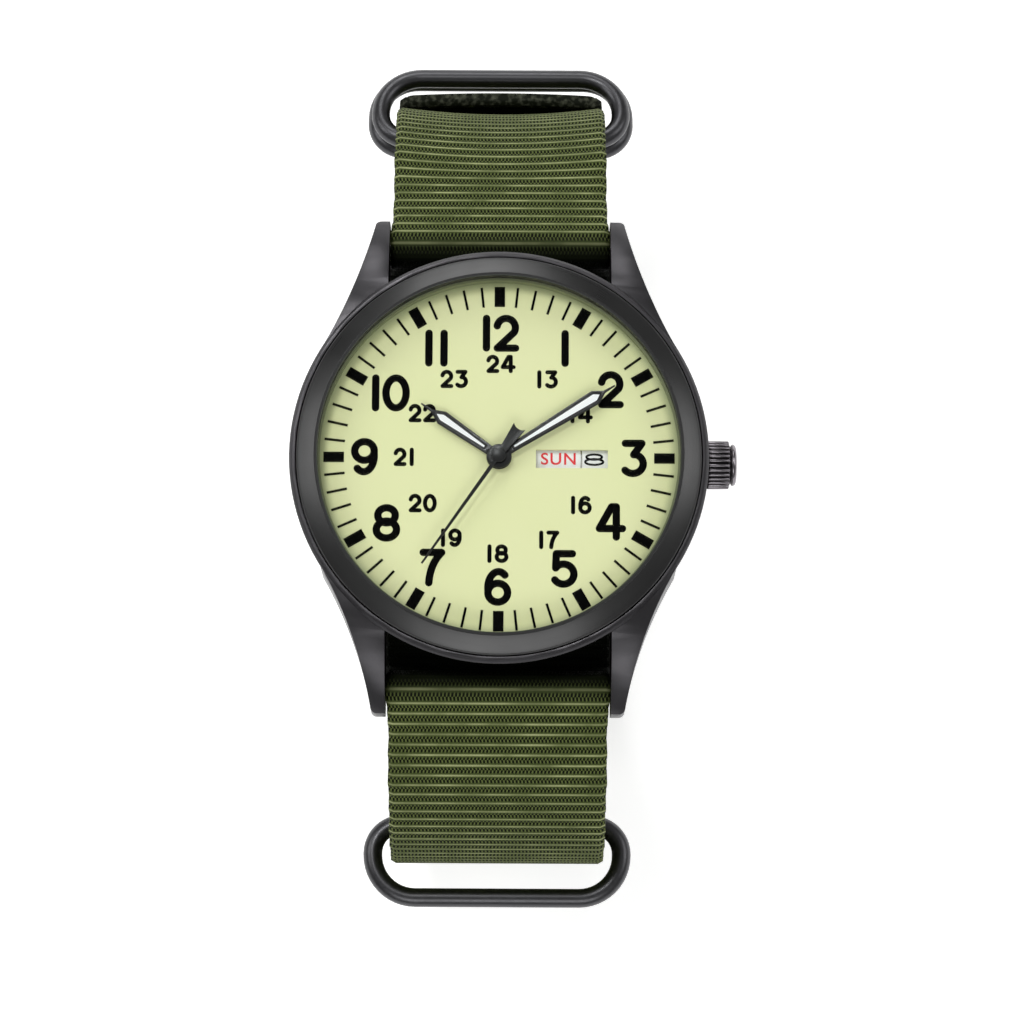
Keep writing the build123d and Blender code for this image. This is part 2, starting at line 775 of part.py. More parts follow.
def battery_clamp():
    """Contact strap from its screw across the cell's face."""
    reach = hypot(battery_x - clamp_screw_x, battery_y - clamp_screw_y) + battery_radius / 2
    angle = degrees(atan2(battery_y - clamp_screw_y, battery_x - clamp_screw_x))
    top = bridge_bottom
    strip = Pos(reach / 2, 0, top - clamp_thickness / 2) * Box(reach, clamp_width, clamp_thickness)
    strip = strip + disc(clamp_width / 2, top - clamp_thickness, clamp_thickness)
    strip = strip + disc(clamp_width / 2, top - clamp_thickness, clamp_thickness, reach)
    strip = strip - disc(screw_radius, top - clamp_thickness - overrun, 2 * overrun + clamp_thickness)
    return Pos(clamp_screw_x, clamp_screw_y, 0) * Rot(0, 0, angle) * strip


def coil():
    """Wound bobbin with a flange at each end."""
    half = coil_length / 2
    half_flange = coil_flange_width / 2
    body = rod(coil_radius, -half, half)
    for side in (-1, 1):
        body = body + rod(coil_flange_radius, side * half - half_flange, side * half + half_flange)
    body = body - rod(coil_core_radius, -half - overrun, half + overrun)
    return Pos(coil_x, coil_y, coil_z) * body


def stator():
    """Iron plate round the rotor, with two arms to the ends of the coil's core."""
    half_arm = stator_arm_width / 2
    reach = coil_length / 2 + coil_flange_width / 2 + half_arm
    ends = [(coil_x - reach, coil_y), (coil_x + reach, coil_y)]
    top = stator_bottom + stator_thickness
    middle_z = stator_bottom + stator_thickness / 2
    plate = disc(stator_ring_radius, stator_bottom, stator_thickness, *rotor_place)
    for x, y in ends:
        corner_y = coil_y + coil_flange_radius + half_arm
        length = hypot(x - rotor_place[0], corner_y - rotor_place[1])
        angle = degrees(atan2(corner_y - rotor_place[1], x - rotor_place[0]))
        arm = Pos(length / 2, 0, 0) * Box(length, stator_arm_width, stator_thickness)
        arm = Pos(rotor_place[0], rotor_place[1], middle_z) * Rot(0, 0, angle) * arm
        foot_length = corner_y - y + stator_arm_width
        foot = Box(stator_arm_width, foot_length, stator_thickness)
        plate = plate + arm
        plate = plate + Pos(x, corner_y - foot_length / 2 + half_arm, middle_z) * foot
    core = rod(coil_core_radius, ends[0][0], ends[1][0], coil_y, coil_z)
    hole_height = stator_thickness + 2 * overrun
    plate = plate - disc(stator_hole_radius, stator_bottom - overrun, hole_height, *rotor_place)
    return plate + core


def calendar_plate():
    plate = disc(calendar_plate_radius, calendar_seat, calendar_plate_thickness)
    plate = plate + disc(calendar_boss_radius, calendar_seat, calendar_plate_thickness + calendar_boss_height)
    plate = plate - disc(calendar_bore_radius, calendar_seat - overrun, calendar_boss_height + 3 * overrun)
    for x, y in dial_side_pivots:
        plate = plate - disc(arbor_radius + running_fit, calendar_seat - overrun,
                             calendar_boss_height + 3 * overrun, x, y)
    return plate


disc_bottom = calendar_seat + calendar_plate_thickness + disc_rise


# Crown, stem and setting parts. The lever swings as far to one side of the stem's normal as to the other.
lever_half_swing = degrees(asin(crown_travel / (2 * lever_reach)))
lever_pin_y = stem_radius - stem_groove_depth + lever_pin_radius + running_fit
lever_x = stem_groove_x + crown_travel / 2
lever_y = lever_pin_y + lever_reach


def crown():
    """Fluted crown with a round-edged cap, a recess over the case tube and a bore for the stem."""
    start = crown_start_x
    knurl_end = start + crown_knurl_length
    corners = toothed(crown_ridges, crown_radius - crown_ridge_depth, crown_radius,
                      crown_ridge_root_share, crown_ridge_tip_share)
    body = Rot(0, 90, 0) * polygon(corners, start, crown_knurl_length)
    body = body - rod(crown_recess_radius, start - overrun, start + crown_recess_depth)
    body = body - rod(stem_radius, start, start + crown_bore_depth)
    tip_x = knurl_end + crown_cap_length
    edge = (tip_x - crown_cap_round, crown_cap_radius)
    face = (tip_x, crown_cap_radius - crown_cap_round)
    profile = [
        Line((knurl_end, 0), (knurl_end, crown_cap_radius)),
        Line((knurl_end, crown_cap_radius), edge),
        TangentArc(edge, face, tangent=(1, 0)),
        Line(face, (tip_x, 0)),
        Line((tip_x, 0), (knurl_end, 0))]
    cap = revolve(make_face(profile), Axis.X, 360)
    return Pos(0, 0, stem_z) * (body + cap)


def stem():
    body = rod(stem_radius, stem_inner_x, crown_start_x + crown_bore_depth)
    half = stem_groove_width / 2
    neck = rod(stem_radius + overrun, stem_groove_x - half, stem_groove_x + half)
    neck = neck - rod(stem_radius - stem_groove_depth, stem_groove_x - 2 * half, stem_groove_x + 2 * half)
    return Pos(0, 0, stem_z) * (body - neck)


def clutch_wheel():
    """Toothed sleeve that the stem slides in and turns."""
    sleeve = rod(clutch_radius, clutch_start_x, clutch_start_x + clutch_length)
    sleeve = sleeve - rod(stem_radius + running_fit, clutch_start_x - overrun,
                          clutch_start_x + clutch_length + overrun)
    gap = Box(2 * clutch_tooth_depth, clutch_radius, clutch_tooth_depth)
    gap = Pos(clutch_start_x, clutch_radius, 0) * gap
    gaps = [Rot(360 / clutch_teeth * index, 0, 0) * gap for index in range(clutch_teeth)]
    return Pos(0, 0, stem_z) * (sleeve - gaps)


def setting_lever():
    """Lever on its stud in the main plate, with a pin in the stem's groove."""
    bar = Pos(0, -lever_reach / 2, lever_thickness / 2) * Box(lever_width, lever_reach, lever_thickness)
    bar = bar + disc(lever_width / 2, 0, lever_thickness, 0, -lever_reach)
    bar = bar + disc(lever_pivot_radius + lever_wall, 0, lever_thickness)
    bar = bar + disc(lever_pin_radius, -lever_pin_drop, lever_pin_drop + lever_thickness / 2, 0, -lever_reach)
    bar = bar - disc(lever_pivot_radius + running_fit, -overrun, lever_thickness + 2 * overrun)
    return Pos(lever_x, lever_y, lever_z) * Rot(0, 0, -lever_half_swing) * bar


# Spring bars
def bar_tube(side):
    half = strap_gap / 2 - bar_end_gap
    tube = rod(bar_radius, -half, half)
    tube = tube - rod(bar_radius - bar_wall, -half - overrun, half + overrun)
    return Pos(0, side * bar_y, bar_z) * tube


def bar_plunger(side, end):
    """Sliding end of a spring bar: a guided body and a thin pivot in the lug's hole."""
    pivot_start = strap_gap / 2 - plunger_fit
    tip = strap_gap / 2 + pivot_length
    body = rod(bar_radius - bar_wall - plunger_fit, pivot_start - plunger_length, pivot_start)
    body = body + rod(pivot_radius, pivot_start, tip)
    if end < 0:
        body = mirror(body, Plane.YZ)
    return Pos(0, side * bar_y, bar_z) * body


def bar_spring(side):
    half = strap_gap / 2 - plunger_fit - plunger_length - bar_spring_gap
    spring = rod(bar_spring_radius, -half, half)
    spring = spring - rod(bar_spring_bore_radius, -half - overrun, half + overrun)
    return Pos(0, side * bar_y, bar_z) * spring


# Strap. A route is walked in the plane x = 0 as straight runs and tangent arcs.
class Route:
    """Walks a centreline in (y, z) and keeps the edges of the webbing's two faces."""

    def __init__(self, y, z, heading, thickness):
        self.y = y
        self.z = z
        self.heading = radians(heading)
        self.half = thickness / 2
        self.left = []
        self.right = []
        self.length = 0

    def place(self, offset):
        """Point beside the walker; positive offsets are on the left."""
        return (0, self.y - offset * sin(self.heading), self.z + offset * cos(self.heading))

    def run(self, distance):
        before = (self.place(self.half), self.place(-self.half))
        self.y += distance * cos(self.heading)
        self.z += distance * sin(self.heading)
        self.left.append(Line(before[0], self.place(self.half)))
        self.right.append(Line(before[1], self.place(-self.half)))
        self.length += distance

    def turn(self, radius, angle):
        """Positive angles turn left."""
        side = 1 if angle > 0 else -1
        start = (self.place(self.half), self.place(-self.half))
        middles = None
        for _ in range(2):
            centre_y = self.y - side * radius * sin(self.heading)
            centre_z = self.z + side * radius * cos(self.heading)
            self.heading += radians(angle) / 2
            self.y = centre_y + side * radius * sin(self.heading)
            self.z = centre_z - side * radius * cos(self.heading)
            if middles is None:
                middles = (self.place(self.half), self.place(-self.half))
        self.left.append(ThreePointArc(start[0], middles[0], self.place(self.half)))
        self.right.append(ThreePointArc(start[1], middles[1], self.place(-self.half)))
        self.length += radius * radians(abs(angle))

    def solid(self, width):
        start_cap = Line(self.left[0] @ 0, self.right[0] @ 0)
        end_cap = Line(self.left[-1] @ 1, self.right[-1] @ 1)
        face = make_face([start_cap, end_cap] + self.left + self.right)
        return extrude(face, width / 2, dir=(1, 0, 0), both=True)


def over_bar(route, side_length):
    """From under the case up behind the spring bar, round it and down the loop's side."""
    corner_start = bar_y - bar_wrap_radius - strap_corner_radius
    route.run(corner_start)
    route.turn(strap_corner_radius, 90)
    route.run(bar_z - strap_z - strap_corner_radius)
    route.turn(bar_wrap_radius, -90 - side_slope_angle)
    route.run(side_length)


def side_centre(side_length):
    """Centre of the big side arc, for the 12 o'clock side; y is mirrored for 6."""
    route = Route(0, strap_z, 0, strap_thickness)
    over_bar(route, side_length)
    slope = radians(side_slope_angle)
    return (route.y - side_radius * sin(slope), route.z - side_radius * cos(slope))


centre_12 = side_centre(side_length_12)
centre_6 = side_centre(side_length_6)
lean_12 = radians(side_lean_angle_12)
bottom_z = centre_12[1] - side_radius * sin(lean_12) - lower_run_12 * cos(lean_12)
bottom_z = bottom_z - lower_radius_12 * (1 - sin(lean_12))
tail_z = bottom_z - pitch_layer
far_bar_z = tail_z + crossing_drop - strap_thickness / 2 - far_bar_gap - wire_radius
pivot_bar_z = bottom_z + fold_radius
rest_z = tail_z - strap_thickness / 2
crossing = degrees(acos(1 - crossing_drop / (2 * crossing_radius)))
crossing_length = 2 * crossing_radius * sin(radians(crossing))
crossing_end_y = buckle_y - fold_radius - layer_gap
tongue_loop_radius = wire_radius + tongue_fit + tongue_loop_wall


def main_strap():
    """One length of webbing: buckle fold, 12 side, under the case, 6 side, tail."""
    near = Route(0, strap_z, 0, strap_thickness)
    over_bar(near, side_length_12)
    near.turn(side_radius, -(90 - side_slope_angle + side_lean_angle_12))
    near.run(lower_run_12)
    near.turn(lower_radius_12, -(90 - side_lean_angle_12))
    bend_y = near.y
    near.run(near.y - buckle_y)
    centres = fold_radius + fold_return_radius
    angle = degrees(acos((fold_height - fold_radius + fold_return_radius) / centres))
    near.turn(fold_radius, -180 - angle)
    near.turn(fold_return_radius, angle)
    near.run(fold_return_length)
    far = Route(0, strap_z, 0, strap_thickness)
    over_bar(far, side_length_6)
    far.turn(side_radius, -(90 - side_slope_angle + side_lean_angle_6))
    drop = far.z - (tail_z + crossing_drop)
    lean = radians(side_lean_angle_6)
    straight = (drop - lower_radius_6 * (1 - sin(lean))) / cos(lean)
    far.run(straight)
    far.turn(lower_radius_6, -(90 - side_lean_angle_6))
    far.run(far.y + crossing_end_y - crossing_length)
    far.turn(crossing_radius, crossing)
    far.turn(crossing_radius, -crossing)
    far.run(far.y + bend_y)
    far.turn(lower_radius_12 + pitch_layer, -(90 - side_lean_angle_12))
    far.run(lower_run_12)
    far.turn(side_radius + pitch_layer, -side_lean_angle_12 - tail_end_angle)
    strap = near.solid(strap_width) + mirror(far.solid(strap_width), Plane.XZ)
    print("main strap length", round(near.length + far.length, 1))
    for side in (-1, 1):
        shoulder = Box(strap_width, 2 * (fold_radius + strap_thickness), 2 * (fold_radius + strap_thickness))
        shoulder_x = side * (strap_width - fold_shoulder)
        shoulder_z = pivot_bar_z + fold_height / 2 - layer_gap / 2
        strap = strap - Pos(shoulder_x, buckle_y - fold_radius, shoulder_z) * shoulder
    slot = Box(fold_slot_width, 4 * fold_radius, 2 * (fold_radius + strap_thickness))
    slot_end_y = buckle_y + tongue_loop_radius + layer_gap
    strap = strap - Pos(0, slot_end_y - 2 * fold_radius, pivot_bar_z) * slot
    return strap - Pos(0, *tongue_crossing()) * Box(
        tongue_slot_width, tongue_slot_length, 2 * strap_thickness + crossing_drop)


# Buckle geometry: the frame leans from the pivot bar down to the far bar
buckle_lean = degrees(asin((pivot_bar_z - far_bar_z) / buckle_height))
far_bar_y = buckle_y - buckle_height * cos(radians(buckle_lean))
tongue_tip_z = rest_z + tongue_seat_gap + tongue_radius


def fold_turns(base_radius):
    """Angles of a fold whose return follows a curved layer: wrap, back turn and travel."""
    near_side = base_radius - fold_radius
    far_side = base_radius - fold_height - fold_return_radius
    across = fold_return_radius + fold_radius
    travel = degrees(acos((near_side ** 2 + far_side ** 2 - across ** 2) / (2 * near_side * far_side)))
    lean = degrees(acos((near_side ** 2 + across ** 2 - far_side ** 2) / (2 * near_side * across)))
    return 180 + lean, travel + lean


def pocket_turns(outer, inner):
    """Angles of the two small arcs that step a layer from one side radius to a smaller one."""
    first = outer - pocket_radius
    second = inner + pocket_radius
    across = 2 * pocket_radius
    inward = degrees(acos((first ** 2 + across ** 2 - second ** 2) / (2 * first * across)))
    outward = degrees(acos((second ** 2 + across ** 2 - first ** 2) / (2 * second * across)))
    return 180 - inward, outward


def under_start(centre):
    """From the middle of the case back to the loop's side; gives the route and its angle there."""
    base_radius = side_radius - pitch_layer
    rise = under_z - under_strap_bend - centre[1]
    reach = base_radius - under_strap_bend
    route = Route(0, under_z, 0, strap_thickness)
    route.run(centre[0] + sqrt(reach ** 2 - rise ** 2))
    bend_angle = degrees(acos(rise / reach))
    route.turn(under_strap_bend, -bend_angle)
    return route, 90 - bend_angle


def under_strap():
    """Short second layer: a pocket for two rings on the 12 side, a fold about one on the 6 side."""
    base_radius = side_radius - pitch_layer
    pocket_base = side_radius - pocket_pitch
    near, angle = under_start(centre_12)
    inward, outward = pocket_turns(base_radius, pocket_base)
    travel = inward - outward
    pocket_start = ring_angle_12 + pocket_margin_angle
    pocket_end = keeper_angle - pocket_margin_angle
    near.turn(base_radius, -(angle - pocket_start - travel))
    near.turn(pocket_radius, -inward)
    near.turn(pocket_radius, outward)
    near.turn(pocket_base, -(pocket_start - pocket_end))
    near.turn(pocket_radius, outward)
    near.turn(pocket_radius, -inward)
    near.turn(base_radius, -(side_lean_angle_12 + pocket_end - travel))
    near.run(under_end_length)
    far, angle = under_start(centre_6)
    far.turn(base_radius, -(angle - ring_angle_6))
    wrap, back = fold_turns(base_radius)
    far.turn(fold_radius, -wrap)
    far.turn(fold_return_radius, back)
    far.turn(base_radius - fold_height, under_fold_angle)
    print("under strap length", round(near.length + far.length, 1))
    return near.solid(under_strap_width) + mirror(far.solid(under_strap_width), Plane.XZ)


# Wire rings
def wire_frame(width, height, corner):
    """A rounded rectangle of round wire in the XY plane; its first bar lies on the X axis."""
    half = width / 2 - wire_radius
    straight = half - corner
    side = height - 2 * corner
    bar = rod(wire_radius, -straight, straight)
    frame = bar + Pos(0, height, 0) * bar
    for end in (-1, 1):
        upright = Pos(end * half, height / 2, 0) * Rot(90, 0, 0) * Cylinder(wire_radius, side)
        frame = frame + upright
        for top in (0, 1):
            section = Pos(corner, 0, 0) * Rot(90, 0, 0) * Circle(wire_radius)
            quarter = revolve(section, Axis.Z, 90)
            spin = {(1, 1): 0, (-1, 1): 90, (-1, 0): 180, (1, 0): 270}[(end, top)]
            place = Pos(end * straight, corner + top * side, 0)
            frame = frame + place * Rot(0, 0, spin) * quarter
    return frame


def ring_at(frame, y, z, direction):
    """Stands a wire frame on its first bar at (y, z), leaning out in a direction from +Y."""
    return Pos(0, y, z) * Rot(direction, 0, 0) * frame


def on_side(centre, radius, angle, side):
    return (side * (centre[0] + radius * cos(radians(angle))), centre[1] + radius * sin(radians(angle)))


ring_12_place = on_side(centre_12, side_radius - keeper_inset, ring_angle_12, 1)
ring_6_place = on_side(centre_6, side_radius - ring_inset, ring_angle_6, -1)
keeper_place = on_side(centre_12, side_radius - keeper_inset, keeper_angle, 1)


def buckle_frame():
    frame = wire_frame(ring_width, buckle_height, buckle_corner_radius)
    frame = ring_at(frame, buckle_y, pivot_bar_z, 180 + buckle_lean)
    seat_half = tongue_radius + tongue_fit
    seat = tongue_pin(seat_half)
    relief = Pos(0, far_bar_y, tongue_tip_z - seat_half) * Rot(tongue_lean(), 0, 0) * Box(
        2 * seat_half, 2 * (wire_radius + overrun), 2 * seat_half)
    return frame - seat - relief


tongue_start_y = buckle_y - tongue_loop_radius + tongue_radius
tongue_tip_y = far_bar_y - tongue_overhang


def tongue_lean():
    """Angle of the tongue's pin from +Y, about X."""
    return degrees(atan2(tongue_tip_z - pivot_bar_z, tongue_tip_y - tongue_start_y))


def tongue_crossing():
    """Where the tongue's pin meets the middle of the strap's slope."""
    strap_y = crossing_end_y - crossing_length / 2
    strap_z = tail_z + crossing_drop / 2
    strap_rise = -sin(radians(crossing)) / cos(radians(crossing))
    pin_rise = (tongue_tip_z - pivot_bar_z) / (tongue_tip_y - tongue_start_y)
    pin_z = pivot_bar_z + pin_rise * (strap_y - tongue_start_y)
    travel = (pin_z - strap_z) / (strap_rise - pin_rise)
    return strap_y + travel, strap_z + strap_rise * travel


def tongue_pin(radius):
    length = hypot(tongue_tip_y - tongue_start_y, tongue_tip_z - pivot_bar_z)
    pin = Pos(0, length / 2, 0) * Rot(90, 0, 0) * Cylinder(radius, length)
    return Pos(0, tongue_start_y, pivot_bar_z) * Rot(tongue_lean(), 0, 0) * pin


def buckle_tongue():
    """Bent wire tongue: a loop on the pivot bar and a pin to the seat in the far bar."""
    loop = rod(tongue_loop_radius, -tongue_loop_width / 2, tongue_loop_width / 2, buckle_y, pivot_bar_z)
    loop = loop + tongue_pin(tongue_radius)
    return loop - rod(wire_radius + tongue_fit, -tongue_loop_width, tongue_loop_width, buckle_y, pivot_bar_z)


def build():
    nodes["case_middle"] = case_middle()
    nodes["bezel"] = bezel()
    nodes["crystal"] = crystal()
    nodes["crystal_gasket"] = ring_solid(bezel_inner_radius, crystal_radius, bezel_lip_top, bezel_top)
    nodes["case_back"] = case_back()
    nodes["case_back_gasket"] = back_gasket()
    nodes["dial_surround"] = dial_surround()
    nodes["movement_holder"] = movement_holder()
    tube = rod(tube_radius, tube_start_x, tube_end_x, z=stem_z)
    nodes["crown_tube"] = tube - rod(tube_bore_radius, tube_start_x - overrun, tube_end_x + overrun, z=stem_z)
    nodes["dial"] = dial()
    nodes["hour_markers"] = Compound(markers(
        hour_marker_width, lambda minute: minute % minutes_between_hours == 0))
    nodes["minute_markers"] = Compound(markers(
        minute_marker_width, lambda minute: minute % minutes_between_hours != 0))
    nodes["hour_hand"] = tapered_hand(hour_blade, hand_hub_radius, hour_pipe_radius,
                                      hour_hand_z, hour_hand_angle)
    nodes["minute_hand"] = tapered_hand(minute_blade, minute_hub_radius, centre_pipe_radius,
                                        minute_hand_z, minute_hand_angle)
    lume_height = hand_thickness + lume_proud
    nodes["hour_hand_lume"] = Rot(0, 0, -hour_hand_angle) * lume_blank(hour_blade, hour_hand_z, lume_height)
    nodes["minute_hand_lume"] = Rot(0, 0, -minute_hand_angle) * lume_blank(
        minute_blade, minute_hand_z, lume_height)
    nodes["second_hand"] = second_hand()
    nodes.update(gear_train())
    nodes["main_plate"] = main_plate()
    nodes["train_bridge"] = train_bridge()
    nodes["circuit_board"] = circuit_board()
    heads = [screw(x, y, bridge_bottom) for x, y in bridge_pillars + board_pillars[:1]]
    heads.append(screw(clamp_screw_x, clamp_screw_y, bridge_bottom - clamp_thickness))
    nodes["movement_screws"] = Compound(heads)
    nodes["battery"] = battery()
    nodes["battery_clamp"] = battery_clamp()
    nodes["quartz_can"] = rod(quartz_radius, quartz_x, quartz_x + quartz_length, quartz_y, quartz_z)
    nodes["coil"] = coil()
    nodes["stator"] = stator()
    nodes["calendar_plate"] = calendar_plate()
    disc_top = disc_bottom + disc_thickness
    nodes["date_disc"] = ring_solid(date_disc_outer, date_disc_inner, disc_bottom, disc_top)
    day_bore = calendar_boss_radius + disc_bore_gap
    nodes["day_disc"] = ring_solid(day_disc_outer, day_bore, disc_bottom, disc_top)
    nodes["crown"] = crown()
    gasket = rod(crown_recess_radius, crown_start_x, crown_start_x + crown_gasket_length, z=stem_z)
    nodes["crown_gasket"] = gasket - rod(tube_radius + running_fit, crown_start_x - overrun,
                                         crown_start_x + crown_gasket_length + overrun, z=stem_z)
    nodes["winding_stem"] = stem()
    nodes["clutch_wheel"] = clutch_wheel()
    nodes["setting_lever"] = setting_lever()
    for side, name in ((1, "12"), (-1, "6")):
        nodes["spring_bar_tube_" + name] = bar_tube(side)
        nodes["spring_bar_coil_" + name] = bar_spring(side)
        nodes["spring_bar_pin_" + name + "_crown_side"] = bar_plunger(side, 1)
        nodes["spring_bar_pin_" + name + "_far_side"] = bar_plunger(side, -1)
    nodes["main_strap"] = main_strap()
    nodes["under_strap"] = under_strap()
    ring = wire_frame(ring_width, ring_height, ring_corner_radius)
    nodes["strap_ring_12"] = ring_at(ring, *ring_12_place, ring_angle_12 - ring_tilt_angle_12)
    nodes["strap_ring_6"] = ring_at(ring, *ring_6_place, 180 - ring_angle_6 - ring_tilt_angle_6)
    keeper = wire_frame(keeper_width, keeper_height, ring_corner_radius)
    nodes["keeper_ring"] = ring_at(keeper, *keeper_place, keeper_angle - keeper_tilt_angle)
    nodes["buckle_frame"] = buckle_frame()
    nodes["buckle_tongue"] = buckle_tongue()
    for name, solid in nodes.items():
        export_step(solid, "parts/" + name + ".step")


build()
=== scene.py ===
# %% [markdown]
# A field watch with a gunmetal case, a pale luminous dial and a ringed webbing strap, closed and lying dial
# up. Its solids come from one model, and every new piece is placed from the same sizes. The first step loads
# that model and keeps its overall box, which sets the floor's height and is printed at the end.

# %% Load the frame
import json
from math import atan2, cos, hypot, pi, radians, sin, sqrt

import bmesh
import bpy
from mathutils import Matrix, Vector


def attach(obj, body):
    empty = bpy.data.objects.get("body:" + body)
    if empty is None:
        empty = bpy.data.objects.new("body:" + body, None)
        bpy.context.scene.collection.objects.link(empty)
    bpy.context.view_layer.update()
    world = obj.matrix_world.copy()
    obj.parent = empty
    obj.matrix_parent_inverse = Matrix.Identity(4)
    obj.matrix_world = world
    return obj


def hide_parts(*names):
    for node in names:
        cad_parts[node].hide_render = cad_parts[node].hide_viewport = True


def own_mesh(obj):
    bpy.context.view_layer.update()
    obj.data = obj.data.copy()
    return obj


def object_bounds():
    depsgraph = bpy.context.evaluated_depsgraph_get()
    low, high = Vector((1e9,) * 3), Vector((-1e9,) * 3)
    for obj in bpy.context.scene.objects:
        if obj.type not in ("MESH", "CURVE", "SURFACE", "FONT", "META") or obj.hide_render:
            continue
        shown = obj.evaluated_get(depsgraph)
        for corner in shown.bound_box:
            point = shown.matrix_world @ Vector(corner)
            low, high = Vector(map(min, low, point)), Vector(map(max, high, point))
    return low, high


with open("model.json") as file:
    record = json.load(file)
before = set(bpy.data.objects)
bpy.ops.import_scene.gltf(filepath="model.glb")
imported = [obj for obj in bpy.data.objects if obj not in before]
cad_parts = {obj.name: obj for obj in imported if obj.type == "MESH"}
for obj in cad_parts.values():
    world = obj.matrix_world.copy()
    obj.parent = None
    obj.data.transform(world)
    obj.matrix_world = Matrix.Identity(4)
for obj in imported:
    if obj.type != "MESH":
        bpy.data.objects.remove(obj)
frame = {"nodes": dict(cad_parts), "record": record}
cad_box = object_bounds()
nodes = frame["nodes"]
MM = 0.001

# %% [markdown]
# The camera looks down on the dial from a little towards 6 o'clock. The photograph gives its tilt and its
# distance through the ellipse of the dial and the taper of the strap. A long lens keeps the perspective
# low, and a small shift puts the dial where it lies in the picture.

# %% Camera
DIAL_TOP = 7.4 * MM
TILT = radians(11.46)
ROLL = radians(0.29)
DISTANCE = 381.28 * MM
SENSOR_WIDTH = 36
FOCAL_LENGTH = 136.23
SHIFT_X, SHIFT_Y = 0.01075, -0.05123
NEAREST = 10 * MM
camera_data = bpy.data.cameras.new("studio_camera")
camera = bpy.data.objects.new("studio_camera", camera_data)
bpy.context.scene.collection.objects.link(camera)
camera_data.sensor_width = SENSOR_WIDTH
camera_data.sensor_fit = "HORIZONTAL"
camera_data.lens = FOCAL_LENGTH
camera_data.shift_x = SHIFT_X
camera_data.shift_y = SHIFT_Y
camera_data.clip_start = NEAREST
away = Vector((0, -sin(TILT), cos(TILT)))
turn = Matrix.Rotation(TILT, 4, "X") @ Matrix.Rotation(ROLL, 4, "Z")
camera.matrix_world = Matrix.Translation(Vector((0, 0, DIAL_TOP)) + away * DISTANCE) @ turn
bpy.context.scene.camera = camera
print("camera at", [round(c, 4) for c in camera.matrix_world.translation])

# %% [markdown]
# Colours are written as sRGB hex, as a picture shows them, and one function turns them to the linear
# values that a shader works with. One more small function adds a shader node with its settings and links,
# so that each material below reads as a list of what it is made of.

# %% Colour and node helpers
def colour(code):
    """Linear colour of an sRGB hex code."""
    channels = [int(code[i:i + 2], 16) / 255 for i in (0, 2, 4)]
    channels = [c / 12.92 if c <= 0.04045 else ((c + 0.055) / 1.055) ** 2.4 for c in channels]
    return (*channels, 1.0)


def add(tree, kind, settings=None, links=None):
    """Adds a node: settings name its attributes or inputs, links name inputs and the outputs they read."""
    node = tree.nodes.new(kind)
    for key, value in (settings or {}).items():
        if isinstance(key, str) and hasattr(node, key):
            setattr(node, key, value)
        else:
            node.inputs[key].default_value = value
    for key, output in (links or {}).items():
        tree.links.new(node.inputs[key], output)
    return node


def start_material(name, base, metallic, roughness):
    """A new material with its shader; uniform values are set on the shader's own sockets."""
    material = bpy.data.materials.new(name)
    material.use_nodes = True
    tree = material.node_tree
    shader = tree.nodes["Principled BSDF"]
    shader.inputs["Base Color"].default_value = colour(base)
    shader.inputs["Metallic"].default_value = metallic
    shader.inputs["Roughness"].default_value = roughness
    return material, tree, shader


# %% [markdown]
# Stainless steel with a gunmetal coating is brushed before it is coated, so fine lines run along each
# face. Real lines are too fine to show at this size, so they are drawn 0.08 mm apart. The lines and a
# slow cloud change the roughness, and the lines tip the light a little, which gives the satin look with
# soft, uneven highlights.

# %% Satin metal
LINE_PITCH = 0.08
LINE_SHARE = 0.6
FINE_RELIEF = 0.01 * MM


def satin(tree, shader, place, lines, cloud_size, roughness, spread, depth):
    """Lines and a slow cloud vary the roughness by the spread, and the lines tip the light."""
    cloud = add(tree, "ShaderNodeTexNoise", {"Scale": 1 / (cloud_size * MM), "Detail": 2.0},
                {"Vector": place.outputs["Object"]})
    blend = add(tree, "ShaderNodeMath", {"operation": "MULTIPLY_ADD", 1: LINE_SHARE},
                {0: lines.outputs["Fac"], 2: cloud.outputs["Fac"]})
    rough = add(tree, "ShaderNodeMapRange",
                {"From Min": 0.5, "From Max": 1.1,
                 "To Min": roughness - spread, "To Max": roughness + spread},
                {"Value": blend.outputs[0]})
    tree.links.new(shader.inputs["Roughness"], rough.outputs[0])
    bump = add(tree, "ShaderNodeBump", {"Strength": depth, "Distance": FINE_RELIEF},
               {"Height": lines.outputs["Fac"]})
    tree.links.new(shader.inputs["Normal"], bump.outputs[0])


# %% Metal brushed straight
def brushed_metal(name, base, roughness, stretch, line=LINE_PITCH, depth=0.15, spread=0.08):
    """Metal brushed along one axis: stretch is how many times longer a line is along X, Y and Z."""
    material, tree, shader = start_material(name, base, 1.0, roughness)
    place = add(tree, "ShaderNodeTexCoord")
    scale = [1 / (line * MM * share) for share in stretch]
    mapping = add(tree, "ShaderNodeMapping", {"Scale": scale}, {"Vector": place.outputs["Object"]})
    lines = add(tree, "ShaderNodeTexNoise", {"Scale": 1.0, "Detail": 3.0, "Roughness": 0.6},
                {"Vector": mapping.outputs[0]})
    satin(tree, shader, place, lines, 6.0, roughness, spread, depth)
    return material


# %% [markdown]
# The bezel is turned on a lathe and brushed while it spins, so its lines are circles about the dial's
# centre. The noise of the lines reads the distance from that centre and the height alone, so it is the
# same all the way round.

